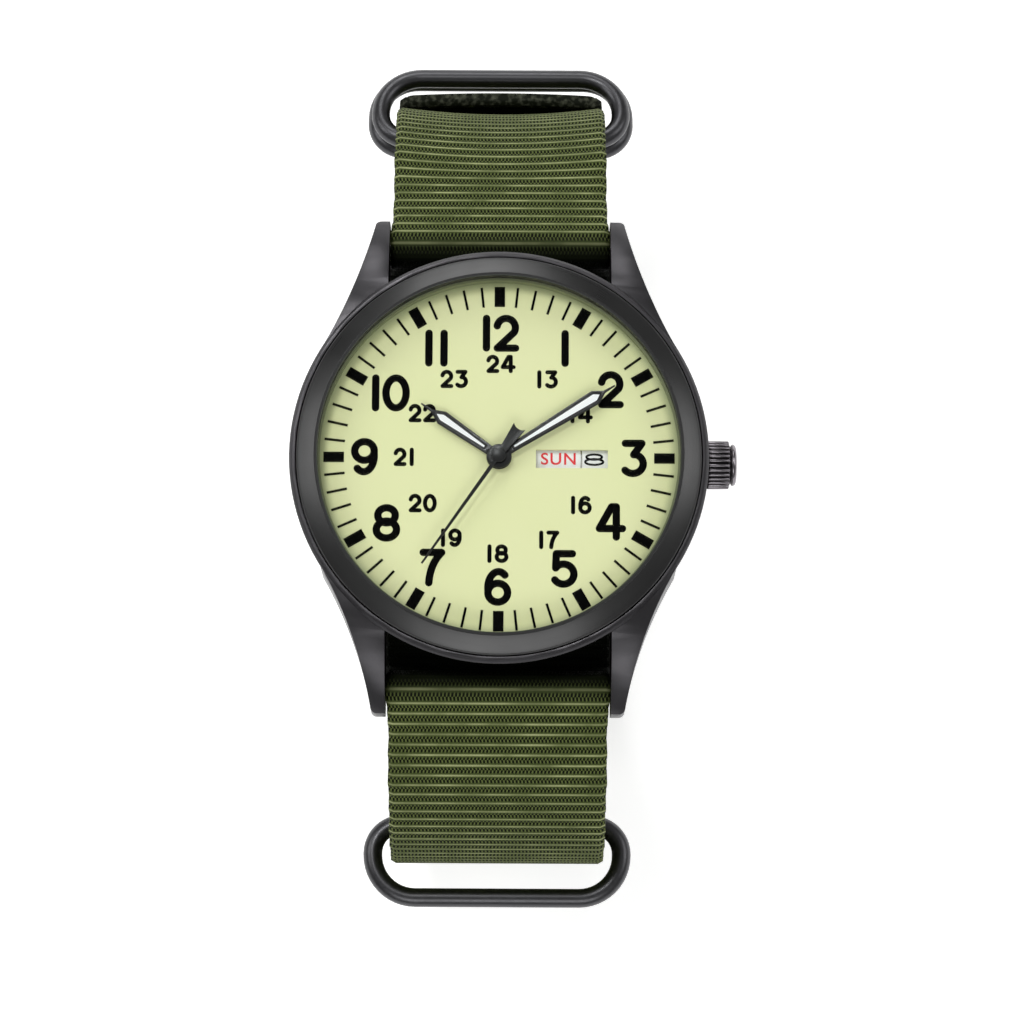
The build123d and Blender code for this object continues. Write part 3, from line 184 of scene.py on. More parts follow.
# %% Metal brushed in circles
def turned_metal(name, base, roughness):
    """Metal brushed in circles about the dial's axis."""
    material, tree, shader = start_material(name, base, 1.0, roughness)
    place = add(tree, "ShaderNodeTexCoord")
    parts = add(tree, "ShaderNodeSeparateXYZ", {}, {0: place.outputs["Object"]})
    flat = add(tree, "ShaderNodeCombineXYZ", {}, {0: parts.outputs["X"], 1: parts.outputs["Y"]})
    radius = add(tree, "ShaderNodeVectorMath", {"operation": "LENGTH"}, {0: flat.outputs[0]})
    ring = add(tree, "ShaderNodeCombineXYZ", {}, {0: radius.outputs["Value"], 1: parts.outputs["Z"]})
    lines = add(tree, "ShaderNodeTexNoise",
                {"Scale": 1 / (LINE_PITCH * MM), "Detail": 3.0, "Roughness": 0.6},
                {"Vector": ring.outputs[0]})
    satin(tree, shader, place, lines, 7.0, roughness, 0.07, 0.2)
    return material


# %% [markdown]
# Moulded, printed and lacquered surfaces have no lines. A fine even grain breaks up their shine, and a
# slow cloud changes their colour by a few percent, as paint and plastic do.

# %% Grained surfaces
CLOUD_SIZE = 5.0
GRAIN_SPREAD = 0.05


def grained(name, base, shade, roughness, grain=0.05, depth=0.1, metallic=0.0):
    """A surface with an even grain in millimetres, whose colour drifts between two tones."""
    material, tree, shader = start_material(name, base, metallic, roughness)
    place = add(tree, "ShaderNodeTexCoord")
    fine = add(tree, "ShaderNodeTexNoise", {"Scale": 1 / (grain * MM), "Detail": 2.0},
               {"Vector": place.outputs["Object"]})
    slow = add(tree, "ShaderNodeTexNoise", {"Scale": 1 / (CLOUD_SIZE * MM), "Detail": 3.0},
               {"Vector": place.outputs["Object"]})
    mix = add(tree, "ShaderNodeMix", {"data_type": "RGBA", 6: colour(base), 7: colour(shade)},
              {0: slow.outputs["Fac"]})
    tree.links.new(shader.inputs["Base Color"], mix.outputs[2])
    rough = add(tree, "ShaderNodeMapRange",
                {"From Min": 0.3, "From Max": 0.7,
                 "To Min": roughness - GRAIN_SPREAD, "To Max": roughness + GRAIN_SPREAD},
                {"Value": fine.outputs["Fac"]})
    tree.links.new(shader.inputs["Roughness"], rough.outputs[0])
    bump = add(tree, "ShaderNodeBump", {"Strength": depth, "Distance": FINE_RELIEF},
               {"Height": fine.outputs["Fac"]})
    tree.links.new(shader.inputs["Normal"], bump.outputs[0])
    return material


# %% [markdown]
# Each solid gets the finish of the real piece. The coated steel pieces are dark and satin, the movement's
# plates are plain grained metal, its wheels are brass or moulded plastic, and the seals are rubber. Flat
# ink and the dial surround hardly shine at all.

# %% Finishes of the solids
case_steel = brushed_metal("Gunmetal coated steel, brushed", "424143", 0.36, (1, 12, 1))
bezel_steel = turned_metal("Gunmetal coated steel, turned", "464646", 0.32)
crown_steel = brushed_metal("Gunmetal coated steel, crown", "807C80", 0.24, (10, 1, 1),
                            depth=0.03, spread=0.03)
# Painted shade: a darker steel for the grip's core, which lies in the ridges' shade.
knurl_painted_shade = grained("Gunmetal coated steel in the grooves", "1E1C1E", "171617", 0.4, metallic=1.0)
wire_steel = grained("Black coated steel wire", "525254", "4A4A4C", 0.34,
                     grain=0.4, depth=0.0, metallic=1.0)
back_steel = turned_metal("Stainless steel, turned", "A6A6A8", 0.3)
plate_metal = brushed_metal("Nickel plated brass plate", "B0AEA6", 0.32, (1, 10, 1))
bar_steel = brushed_metal("Drawn stainless steel", "A8A8A8", 0.28, (14, 1, 1))
wheel_brass = turned_metal("Turned brass", "C9A456", 0.28)
coil_wire = brushed_metal("Wound enamelled copper wire", "B4683A", 0.35, (1, 8, 8), line=0.1, depth=0.6)
stator_iron = brushed_metal("Stamped soft iron", "8C8C8A", 0.4, (6, 6, 1))
rubber_seal = grained("Black rubber", "0E0E0E", "151515", 0.6)
surround_paint = grained("Olive grey lacquer on the dial surround", "868B6C", "7D8264", 0.4)
holder_plastic = grained("Moulded acetal", "C9C8C2", "BDBCB5", 0.5)
wheel_plastic = grained("Moulded acetal wheels", "DAD6C8", "CFCABA", 0.45)
board_resin = grained("Green solder mask on glass laminate", "1D5C36", "174C2C", 0.4)
print_ink = grained("Black pad printed ink", "020202", "040404", 0.65, grain=0.04)
hand_lacquer = grained("Black lacquered brass", "121212", "1A1918", 0.32, grain=0.06)
hand_lume = grained("White luminous paint", "FFFFFF", "FAFBF8", 0.65, grain=0.06, depth=0.2)
disc_lacquer = grained("White lacquered calendar disc", "FFFFFF", "FAFAFA", 0.5)
MATTE_SHINE = 0.04
for matte in (print_ink, surround_paint):
    matte.node_tree.nodes["Principled BSDF"].inputs["Specular IOR Level"].default_value = MATTE_SHINE
finishes = {
    "case_metal": case_steel, "bezel_metal": bezel_steel, "back_steel": back_steel,
    "black_seal": rubber_seal, "surround_black": surround_paint, "holder_plastic": holder_plastic,
    "print_black": print_ink, "hand_black": hand_lacquer, "hand_lume": hand_lume,
    "disc_white": disc_lacquer, "plate_metal": plate_metal, "wheel_brass": wheel_brass,
    "wheel_plastic": wheel_plastic, "board_green": board_resin, "cell_steel": bar_steel,
    "coil_copper": coil_wire, "stator_iron": stator_iron, "crown_metal": crown_steel,
    "stem_steel": bar_steel, "bar_steel": bar_steel, "ring_metal": wire_steel}
print("finishes", len(finishes))

# %% [markdown]
# The dial is a brass plate with a thick pale lacquer that glows faintly in the dark. It is matte and a
# yellow-green cream. Shade is painted towards its edge, where the surround shades it, so its colour also
# reads the distance from the centre.

# %% Dial lacquer
DIAL_PAINTED_SHADE_START, DIAL_PAINTED_SHADE_END = 16.6 * MM, 17.9 * MM
dial_lacquer, tree, shader = start_material("Pale luminous lacquer", "EBEDB2", 0.0, 0.7)
place = add(tree, "ShaderNodeTexCoord")
parts = add(tree, "ShaderNodeSeparateXYZ", {}, {0: place.outputs["Object"]})
flat = add(tree, "ShaderNodeCombineXYZ", {}, {0: parts.outputs["X"], 1: parts.outputs["Y"]})
radius = add(tree, "ShaderNodeVectorMath", {"operation": "LENGTH"}, {0: flat.outputs[0]})
edge = add(tree, "ShaderNodeMapRange",
           {"From Min": DIAL_PAINTED_SHADE_START, "From Max": DIAL_PAINTED_SHADE_END, "interpolation_type": "SMOOTHSTEP"},
           {"Value": radius.outputs["Value"]})
cloud = add(tree, "ShaderNodeTexNoise", {"Scale": 1 / (9 * MM), "Detail": 2.0},
            {"Vector": place.outputs["Object"]})
drift = add(tree, "ShaderNodeMix", {"data_type": "RGBA", 6: colour("EAEEB2"), 7: colour("F0F0BC")},
            {0: cloud.outputs["Fac"]})
# Painted shade: the colour turns a darker olive towards the dial's edge, where the surround shades it.
rim = add(tree, "ShaderNodeMix", {"data_type": "RGBA", 7: colour("AEB488")},
          {0: edge.outputs[0], 6: drift.outputs[2]})
tree.links.new(shader.inputs["Base Color"], rim.outputs[2])
grain = add(tree, "ShaderNodeTexNoise", {"Scale": 1 / (0.06 * MM), "Detail": 2.0},
            {"Vector": place.outputs["Object"]})
bump = add(tree, "ShaderNodeBump", {"Strength": 0.15, "Distance": FINE_RELIEF},
           {"Height": grain.outputs["Fac"]})
tree.links.new(shader.inputs["Normal"], bump.outputs[0])
finishes["dial_lume"] = dial_lacquer
print("dial lacquer", len(tree.nodes), "nodes")

# %% [markdown]
# The crystal is a flat disc of mineral glass. Seen from above, it only adds a faint reflection to the dial,
# and light has to pass through it to the dial. A clear share lets light and shadows through. It is mixed
# with glass whose share grows with the fifth power towards grazing views, the same on both faces, so the
# dial keeps its light. The disc's ground edge is matte, and its dark green is painted shade.

# %% Crystal glass
GLASS_FACING, GLASS_GRAZING = 0.015, 0.96
crystal_glass, tree, shader = start_material("Mineral glass", "F7FBFA", 0.0, 0.02)
shader.inputs["Transmission Weight"].default_value = 1.0
shader.inputs["IOR"].default_value = 1.5
clear = add(tree, "ShaderNodeBsdfTransparent", {"Color": colour("FDFEFE")})
grazing = add(tree, "ShaderNodeLayerWeight", {"Blend": 0.5})
fifth = add(tree, "ShaderNodeMath", {"operation": "POWER", 1: 5.0}, {0: grazing.outputs["Facing"]})
share = add(tree, "ShaderNodeMath", {"operation": "MULTIPLY_ADD", 1: GLASS_GRAZING, 2: GLASS_FACING},
            {0: fifth.outputs[0]})
mixed = add(tree, "ShaderNodeMixShader", {},
            {0: share.outputs[0], 1: clear.outputs[0], 2: shader.outputs[0]})
tree.links.new(tree.nodes["Material Output"].inputs["Surface"], mixed.outputs[0])
finishes["crystal_glass"] = crystal_glass
# Painted shade: the ground edge is coloured a dark green.
ground_glass_painted_shade = grained("Ground edge of mineral glass", "3E4338", "343A30", 0.5)
print("crystal glass", len(tree.nodes), "nodes")

# %% [markdown]
# The record names the finish of every solid by its slot, so one loop gives each solid its material. The
# webbing has no finish here, because its two solids are replaced further down.

# %% Give the solids their finishes
for entry in frame["record"]["subparts"]:
    solid = nodes[entry["node"]]
    finish = finishes.get(entry["material_slot"])
    if finish is None:
        continue
    solid.data.materials.clear()
    solid.data.materials.append(finish)
print("solids with a finish", sum(1 for solid in nodes.values() if solid.data.materials))

# %% [markdown]
# The turned pieces of the case are one outline spun about an axis, as a lathe cuts them. A bevel then
# breaks each sharp edge by less than a tenth of a millimetre, as polishing does, and those narrow rounds
# catch the light as fine lines.

# %% Spin and break the edges
WELD = 0.001 * MM


def finish_piece(name, mesh, *finish):
    """Turns a bmesh into an object at the origin, with its finishes in order."""
    data = bpy.data.meshes.new(name)
    mesh.to_mesh(data)
    mesh.free()
    piece = bpy.data.objects.new(name, data)
    bpy.context.scene.collection.objects.link(piece)
    for material in finish:
        data.materials.append(material)
    return piece


def smooth_faces(mesh):
    """Shades every face of a bmesh as part of a curved surface."""
    for face in mesh.faces:
        face.smooth = True


def turned(outline, steps):
    """A closed or axis-to-axis outline of (radius, height) in millimetres, spun about Z."""
    mesh = bmesh.new()
    points = [mesh.verts.new((radius * MM, 0, height * MM)) for radius, height in outline]
    edges = [mesh.edges.new(pair) for pair in zip(points, points[1:])]
    if outline[0][0] > 0:
        edges.append(mesh.edges.new((points[-1], points[0])))
    bmesh.ops.spin(mesh, geom=points + edges, cent=(0, 0, 0), axis=(0, 0, 1), angle=2 * pi, steps=steps,
                   use_merge=True)
    bmesh.ops.remove_doubles(mesh, verts=mesh.verts, dist=WELD)
    bmesh.ops.recalc_face_normals(mesh, faces=mesh.faces)
    return mesh


def break_edges(mesh, width, least=25, segments=3):
    """Rounds every edge that turns by more than the least angle in degrees."""
    sharp = [edge for edge in mesh.edges
             if len(edge.link_faces) == 2 and edge.calc_face_angle() > radians(least)]
    bmesh.ops.bevel(mesh, geom=sharp, offset=width * MM, affect="EDGES", segments=segments, profile=0.5,
                    material=-1)
    smooth_faces(mesh)
    return mesh


def stand_in(piece, node, body):
    """The piece takes a node's place on its body."""
    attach(piece, body)
    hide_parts(node)


# %% [markdown]
# The bezel slopes from its rim up to the crystal, which rests on a narrow ledge inside it. The crystal
# stands a tenth of a millimetre proud, with a small chamfer ground round its edge. Both are spun in many
# steps, because their circles are the largest in the picture.

# %% Bezel and crystal
RIM_STEPS = 192
BEZEL_RADIUS, BEZEL_BORE = 20.0, 19.02
SEAT_RADIUS, LEDGE_RADIUS, RELIEF_RADIUS = 18.15, 17.86, 18.3
BEZEL_FOOT, BEZEL_TOP = 7.87, 10.2
RELIEF_TOP, LEDGE_UNDERSIDE = 8.62, 8.95
BEZEL_BREAK = 0.07
GLASS_RADIUS, GLASS_BOTTOM, GLASS_TOP = 17.98, 9.2, 10.3
CHAMFER_WIDTH, CHAMFER_HEIGHT = 0.13, 0.14
UPRIGHT, LEVEL = 0.3, 0.95
BEZEL = [(BEZEL_BORE, BEZEL_FOOT), (BEZEL_RADIUS, BEZEL_FOOT), (BEZEL_RADIUS, 9.0), (19.88, 9.23),
         (19.65, 9.35), (SEAT_RADIUS, BEZEL_TOP), (SEAT_RADIUS, GLASS_BOTTOM), (LEDGE_RADIUS, GLASS_BOTTOM),
         (LEDGE_RADIUS, LEDGE_UNDERSIDE), (RELIEF_RADIUS, LEDGE_UNDERSIDE), (RELIEF_RADIUS, RELIEF_TOP),
         (BEZEL_BORE, RELIEF_TOP)]
bezel = finish_piece("bezel_turned", break_edges(turned(BEZEL, RIM_STEPS), BEZEL_BREAK), bezel_steel)
stand_in(bezel, "bezel", "watch")

CRYSTAL = [(0, GLASS_BOTTOM), (GLASS_RADIUS, GLASS_BOTTOM), (GLASS_RADIUS, GLASS_TOP - CHAMFER_HEIGHT),
           (GLASS_RADIUS - CHAMFER_WIDTH, GLASS_TOP), (0, GLASS_TOP)]
mesh = turned(CRYSTAL, RIM_STEPS)
for face in mesh.faces:
    face.material_index = 1 if UPRIGHT < face.normal.z < LEVEL else 0
crystal = finish_piece("crystal_disc", mesh, crystal_glass, ground_glass_painted_shade)
stand_in(crystal, "crystal", "watch")
print("bezel", len(bezel.data.polygons), "faces, crystal", len(crystal.data.polygons))

# %% [markdown]
# The case middle and the hands are milled and stamped shapes, not turned ones. A copy of each solid's
# mesh is merged first, because it arrives as loose triangles, and a live bevel on its sharp edges breaks
# them.

# %% Break the edges of milled and stamped pieces
CASE_BREAK, HAND_BREAK, NEEDLE_BREAK = 0.2, 0.04, 0.03
LEAST_EDGE = radians(30)
FLAT_ENOUGH = radians(0.5)


def softened(name, node, body, finish, width, segments=2):
    """A merged copy of a node's mesh whose sharp edges are rounded."""
    mesh = bmesh.new()
    mesh.from_mesh(nodes[node].data)
    bmesh.ops.remove_doubles(mesh, verts=mesh.verts, dist=WELD / 2)
    bmesh.ops.dissolve_limit(mesh, angle_limit=FLAT_ENOUGH, verts=mesh.verts, edges=mesh.edges)
    smooth_faces(mesh)
    piece = finish_piece(name, mesh, finish)
    edge = piece.modifiers.new("broken edges", "BEVEL")
    edge.limit_method = "ANGLE"
    edge.angle_limit = LEAST_EDGE
    edge.width = width * MM
    edge.segments = segments
    edge.harden_normals = True
    stand_in(piece, node, body)


softened("case_milled", "case_middle", "watch", case_steel, CASE_BREAK, segments=3)
softened("hour_hand_stamped", "hour_hand", "hours", hand_lacquer, HAND_BREAK)
softened("minute_hand_stamped", "minute_hand", "minutes", hand_lacquer, HAND_BREAK)
softened("second_hand_stamped", "second_hand", "seconds", hand_lacquer, NEEDLE_BREAK)

# %% [markdown]
# The three strap rings are bent from round wire and welded. A circle is drawn out along each straight
# part and spun through each corner. The corners beside the bar that carries the webbing are tight, so
# that its whole width bears on a straight bar, and the outer corners are wide.

# %% Wire rings
WIRE_RADIUS = 0.975
WIRE_SIDES = 20
TIGHT, WIDE = 3.0, 4.4
CORNER_STEPS = 12


def wire_ring(name, node, body, half_width, height, bar, direction):
    """A ring whose first bar lies at bar (y, z); direction in degrees leads to its outer bar."""
    mesh = bmesh.new()
    tight_x, wide_x = half_width - TIGHT, half_width - WIDE
    start = Matrix.Translation((-tight_x * MM, 0, 0)) @ Matrix.Rotation(pi / 2, 4, "Y")
    bmesh.ops.create_circle(mesh, segments=WIRE_SIDES, radius=WIRE_RADIUS * MM, matrix=start)
    loop = list(mesh.edges)
    side = height - TIGHT - WIDE
    runs = [(2 * tight_x, 0), (0, side), (-2 * wide_x, 0), (0, -side)]
    centres = [(tight_x, TIGHT), (wide_x, height - WIDE), (-wide_x, height - WIDE), (-tight_x, TIGHT)]
    for (run_x, run_y), (centre_x, centre_y) in zip(runs, centres):
        drawn = bmesh.ops.extrude_edge_only(mesh, edges=loop)["geom"]
        ends = [part for part in drawn if isinstance(part, bmesh.types.BMVert)]
        bmesh.ops.translate(mesh, verts=ends, vec=(run_x * MM, run_y * MM, 0))
        loop = [part for part in drawn if isinstance(part, bmesh.types.BMEdge)
                and part.verts[0] in ends and part.verts[1] in ends]
        bent = bmesh.ops.spin(mesh, geom=ends + loop, cent=(centre_x * MM, centre_y * MM, 0), axis=(0, 0, 1),
                              angle=pi / 2, steps=CORNER_STEPS, use_merge=False)["geom_last"]
        loop = [part for part in bent if isinstance(part, bmesh.types.BMEdge)]
    bmesh.ops.remove_doubles(mesh, verts=mesh.verts, dist=WELD)
    bmesh.ops.recalc_face_normals(mesh, faces=mesh.faces)
    tilt = Matrix.Rotation(radians(direction), 3, "X")
    bmesh.ops.rotate(mesh, verts=mesh.verts, cent=(0, 0, 0), matrix=tilt)
    bmesh.ops.translate(mesh, verts=mesh.verts, vec=(0, bar[0] * MM, bar[1] * MM))
    smooth_faces(mesh)
    ring = finish_piece(name, mesh, wire_steel)
    stand_in(ring, node, body)
    return len(ring.data.polygons)


RING_HALF_WIDTH, RING_HEIGHT = 12.825, 7.6
KEEPER_HALF_WIDTH, KEEPER_HEIGHT = 13.275, 8.3
BAR_12, BAR_6, KEEPER_BAR = (39.279, -15.7201), (-33.6067, -17.8376), (39.1837, -19.3583)
TURN_12, TURN_6, KEEPER_TURN = -15, 178, -12.6
faces = wire_ring("ring_wire_12", "strap_ring_12", "front_ring", RING_HALF_WIDTH, RING_HEIGHT,
                  BAR_12, TURN_12)
faces += wire_ring("ring_wire_6", "strap_ring_6", "lower_ring", RING_HALF_WIDTH, RING_HEIGHT,
                   BAR_6, TURN_6)
faces += wire_ring("ring_wire_keeper", "keeper_ring", "back_ring", KEEPER_HALF_WIDTH, KEEPER_HEIGHT,
                   KEEPER_BAR, KEEPER_TURN)
print("rings", faces, "faces")

# %% [markdown]
# Each spring bar has one coil between its two pins. A pin that is pushed in shortens its half of the coil,
# so each half is a piece of its own, cut and closed at the middle.

# %% Spring halves
for hour in ("12", "6"):
    for side, sign in (("crown_side", 1), ("far_side", -1)):
        mesh = bmesh.new()
        mesh.from_mesh(nodes["spring_bar_coil_" + hour].data)
        bmesh.ops.remove_doubles(mesh, verts=mesh.verts, dist=WELD / 2)
        everything = list(mesh.verts) + list(mesh.edges) + list(mesh.faces)
        cut = bmesh.ops.bisect_plane(mesh, geom=everything, plane_co=(0, 0, 0), plane_no=(sign, 0, 0),
                                     clear_inner=True)["geom_cut"]
        cut_edges = [part for part in cut if isinstance(part, bmesh.types.BMEdge)]
        bmesh.ops.bridge_loops(mesh, edges=cut_edges)
        bmesh.ops.recalc_face_normals(mesh, faces=mesh.faces)
        reach = max(abs(vert.co.x) for vert in mesh.verts) / MM
        half = finish_piece("spring_half_" + hour + "_" + side, mesh, bar_steel)
        stand_in(half, "spring_bar_coil_" + hour, "watch")
        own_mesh(half)
print("spring halves reach", round(reach, 3), "mm")

# %% [markdown]
# Each luminous filling lies in the window of its hand. The window's walls are broad, so the filling's
# face is set in from its outline, and the rim that this leaves is lacquered like the hand.

# %% Luminous fillings
FILLING_HEIGHT = 0.2
LUME_RIM, RIM_STEP = 0.12, 0.01
HOUR_BLADE = [(0.21, 1.65), (0.445, 6.9), (0.07, 7.65)]
MINUTE_BLADE = [(0.21, 1.65), (0.47, 11.2), (0.07, 11.8)]
HOUR_FLOOR, MINUTE_FLOOR = 7.78, 8.22
HOUR_ANGLE, MINUTE_ANGLE = 304.7, 57.9


def filling(name, node, body, blade, bottom, clockwise):
    """A tapered filling; blade gives base, shoulder and point as (half width, distance from the centre)."""
    mesh = bmesh.new()
    corners = [(x, y) for x, y in blade] + [(-x, y) for x, y in reversed(blade)]
    points = [mesh.verts.new((x * MM, y * MM, bottom * MM)) for x, y in corners]
    face = mesh.faces.new(points)
    risen = bmesh.ops.extrude_face_region(mesh, geom=[face])["geom"]
    bmesh.ops.translate(mesh, verts=[item for item in risen if isinstance(item, bmesh.types.BMVert)],
                        vec=(0, 0, FILLING_HEIGHT * MM))
    bmesh.ops.recalc_face_normals(mesh, faces=mesh.faces)
    top = max(mesh.faces, key=lambda face: face.calc_center_median().z)
    rim = bmesh.ops.inset_region(mesh, faces=[top], thickness=LUME_RIM * MM, depth=RIM_STEP * MM,
                                 use_even_offset=True)["faces"]
    for face in mesh.faces:
        face.material_index = 0 if face is top else 1
    swing = Matrix.Rotation(-radians(clockwise), 3, "Z")
    bmesh.ops.rotate(mesh, verts=mesh.verts, cent=(0, 0, 0), matrix=swing)
    stand_in(finish_piece(name, mesh, hand_lume, hand_lacquer), node, body)
    return len(rim)


rims = filling("hour_filling", "hour_hand_lume", "hours", HOUR_BLADE, HOUR_FLOOR, HOUR_ANGLE)
rims += filling("minute_filling", "minute_hand_lume", "minutes", MINUTE_BLADE, MINUTE_FLOOR, MINUTE_ANGLE)
print("fillings, rim faces", rims)

# %% [markdown]
# The crown's grip is a row of fine straight ridges with rounded ends round a turned core. Each ridge is a
# ball whose far half is drawn out along the crown, which gives a rod with two round ends. A shallow groove
# parts the grip from the domed cap. The core between the ridges is painted darker, as the shade that the
# ridges throw on it.

# %% Crown
CROWN_AXIS_Z = 4.2
CORE_RADIUS, CROWN_INNER, CROWN_OUTER = 2.2, 20.5, 23.6
RIDGES = 30
RIDGE_RADIUS, RIDGE_RING = 0.17, 2.25
RIDGE_START, RIDGE_RUN = 20.84, 1.86
GRIP_START, GRIP_END, GRIP_MARGIN = 20.7, 23.07, 0.015
SIDEWAYS = 0.6
CROWN_STEPS, CROWN_BREAK, CROWN_LEAST = 56, 0.04, 35
ROD_SIDES, ROD_RINGS = 8, 6
CROWN = [(0, 22.5), (1.27, 22.5), (1.27, CROWN_INNER), (1.95, CROWN_INNER), (CORE_RADIUS, 20.68),
         (CORE_RADIUS, 22.86), (1.86, 22.98), (1.86, 23.06), (2.04, 23.1), (2.1, 23.25), (2.0, 23.46),
         (1.75, 23.58), (1.2, CROWN_OUTER), (0, CROWN_OUTER)]


def round_rod(mesh, radius, run):
    """Adds a rod with round ends along Z: a ball whose far half is drawn out. Gives back its vertices."""
    ball = bmesh.ops.create_uvsphere(mesh, u_segments=ROD_SIDES, v_segments=ROD_RINGS,
                                     radius=radius * MM)["verts"]
    far = [vert for vert in ball if vert.co.z > WELD]
    bmesh.ops.translate(mesh, verts=far, vec=(0, 0, run * MM))
    return ball


core = break_edges(turned(CROWN, CROWN_STEPS), CROWN_BREAK, CROWN_LEAST, 2)
for index in range(RIDGES):
    ridge = round_rod(core, RIDGE_RADIUS, RIDGE_RUN)
    spot = Matrix.Translation((RIDGE_RING * MM, 0, RIDGE_START * MM))
    bmesh.ops.transform(core, verts=ridge, matrix=Matrix.Rotation(2 * pi * index / RIDGES, 4, "Z") @ spot)
for face in core.faces:
    middle = face.calc_center_median()
    inside = hypot(middle.x, middle.y) < (CORE_RADIUS + GRIP_MARGIN) * MM
    along_grip = GRIP_START * MM < middle.z < GRIP_END * MM
    side_on = len(face.verts) == 4 and abs(face.normal.z) < SIDEWAYS
    face.material_index = 1 if inside and along_grip and side_on else 0
bmesh.ops.rotate(core, verts=core.verts, cent=(0, 0, 0), matrix=Matrix.Rotation(pi / 2, 3, "Y"))
bmesh.ops.translate(core, verts=core.verts, vec=(0, 0, CROWN_AXIS_Z * MM))
smooth_faces(core)
crown = finish_piece("crown_ridged", core, crown_steel, knurl_painted_shade)
stand_in(crown, "crown", "crown_stem")
print("crown", len(crown.data.polygons), "faces")

# %% [markdown]
# The strap is ribbed nylon webbing. Its way is stated as straight runs and arcs in the plane through 12
# and 6 o'clock, with the same sizes as the solids: a run has a length, and a turn has a radius and an
# angle. A point of the flat webbing, along and across, can then be laid on that way.

# %% The strap's way
NEARLY = 1e-9
STRAP_START_Z, UNDER_START_Z = -0.95, -2.5
STRAP_NEAR = [("run", 19.2), ("turn", 1.95, 90), ("run", 1.2), ("turn", 1.55, -120), ("run", 10.15),
              ("turn", 18.0, -90), ("run", 6.9), ("turn", 24.0, -60), ("run", 13.819),
              ("turn", 1.725, -229.409), ("turn", 4.0, 49.409), ("run", 9.0)]
STRAP_FAR = [("run", 19.2), ("turn", 1.95, 90), ("run", 1.2), ("turn", 1.55, -120), ("run", 5.46),
             ("turn", 18.0, -72), ("run", 7.6698), ("turn", 22.0, -78), ("run", 2.4833),
             ("turn", 12.0, 24.724), ("turn", 12.0, -24.724), ("run", 15.794), ("turn", 25.55, -60),
             ("run", 6.9), ("turn", 19.55, -38)]
UNDER_NEAR = [("run", 27.7649), ("turn", 10.0, -44.2376), ("turn", 16.45, -20.8709), ("turn", 3.0, -61.4165),
              ("turn", 3.0, 43.5251), ("turn", 14.15, -17), ("turn", 3.0, 43.5251), ("turn", 3.0, -61.4165),
              ("turn", 16.45, -2.1086), ("run", 5.5)]
UNDER_FAR = [("run", 25.2385), ("turn", 10.0, -69.336), ("turn", 16.45, -32.664), ("turn", 1.725, -220.2924),
             ("turn", 4.0, 59.9606), ("turn", 15.0, 10)]


def advance(y, z, heading, step, part):
    """Goes a part of a step's length, and gives back y, z and heading."""
    if step[0] == "run":
        return y + part * cos(heading), z + part * sin(heading), heading
    side = 1 if step[2] > 0 else -1
    centre_y = y - side * step[1] * sin(heading)
    centre_z = z + side * step[1] * cos(heading)
    heading += side * part / step[1]
    return centre_y + side * step[1] * sin(heading), centre_z - side * step[1] * cos(heading), heading


def walk(steps, start_z):
    """The stretches of a way from (0, start_z) towards 12 o'clock: length so far, place, heading, step."""
    y, z, heading, length = 0.0, start_z, 0.0, 0.0
    stretches = []
    for step in steps:
        stretches.append((length, y, z, heading, step))
        part = step[1] if step[0] == "run" else step[1] * radians(abs(step[2]))
        y, z, heading = advance(y, z, heading, step, part)
        length += part
    return stretches, length


def on_way(stretches, along, lift):
    """Place (y, z) at a distance along a way, lifted off its middle to the left."""
    length, y, z, heading, step = [one for one in stretches if one[0] <= along + NEARLY][-1]
    y, z, heading = advance(y, z, heading, step, along - length)
    return y - lift * sin(heading), z + lift * cos(heading)


strap_near, near_length = walk(STRAP_NEAR, STRAP_START_Z)
strap_far, far_length = walk(STRAP_FAR, STRAP_START_Z)
under_near, under_near_length = walk(UNDER_NEAR, UNDER_START_Z)
under_far, under_far_length = walk(UNDER_FAR, UNDER_START_Z)
print("main strap", round(near_length + far_length, 1), "mm, under strap",
      round(under_near_length + under_far_length, 1), "mm")

# %% [markdown]
# Thick weft cords lie across the webbing, 1.1 mm apart. It starts as a flat grid, which is rolled into a
# closed flat tube of its real thickness, with rounded selvedges. The corners of the tube's section are
# worked out first, and each has a share of the rib's height, because a cord lifts a face more than a
# selvedge.

# %% Section of the webbing
RIB_PITCH, RIB_HEIGHT = 1.1, 0.17
THICKNESS = 1.3
FACE_STEPS, EDGE_STEPS = 12, 3
SELVEDGE_RIB = 0.45


def smooth(share):
    """A soft step from 0 to 1."""
    share = min(max(share, 0.0), 1.0)
    return share * share * (3 - 2 * share)


def band_section(half_width, half_thick):
    """Corners of the flat tube's section: (across, up, share of the rib's height)."""
    corners = []
    flat = half_width - half_thick
    for side in (1, -1):
        for index in range(FACE_STEPS):
            corners.append((side * (2 * flat * index / FACE_STEPS - flat), side * half_thick, 1.0))
        for index in range(EDGE_STEPS):
            angle = side * pi / 2 - pi * index / EDGE_STEPS
            rib = SELVEDGE_RIB + (1 - SELVEDGE_RIB) * abs(sin(angle))
            corners.append((side * flat + half_thick * cos(angle), half_thick * sin(angle), rib))
    return corners


print("section", len(band_section(1, THICKNESS / 2)), "corners")

# %% [markdown]
# A real band isn't quite straight. It lies a little wider under the case and over the spring bars, its
# selvedges wander by a few hundredths of a millimetre, and its cut end has rounded corners.

# %% Width of the webbing
STRAP_WIDTH, UNDER_WIDTH = 21.8, 19.4
BARS_WIDER, BARS_REACH, BARS_FADE = 0.022, 25.5, 4.0
LUGS_WIDER, LUGS_REACH, LUGS_FADE = 0.027, 21.2, 0.8
ROUNDED, CORNER_REACH = 0.1, 1.6
SELVEDGE = 0.1
WANDER = ((0.04, 1.9, 0), (0.03, 0.7, 1))
RIB_AT_EDGE = 0.05


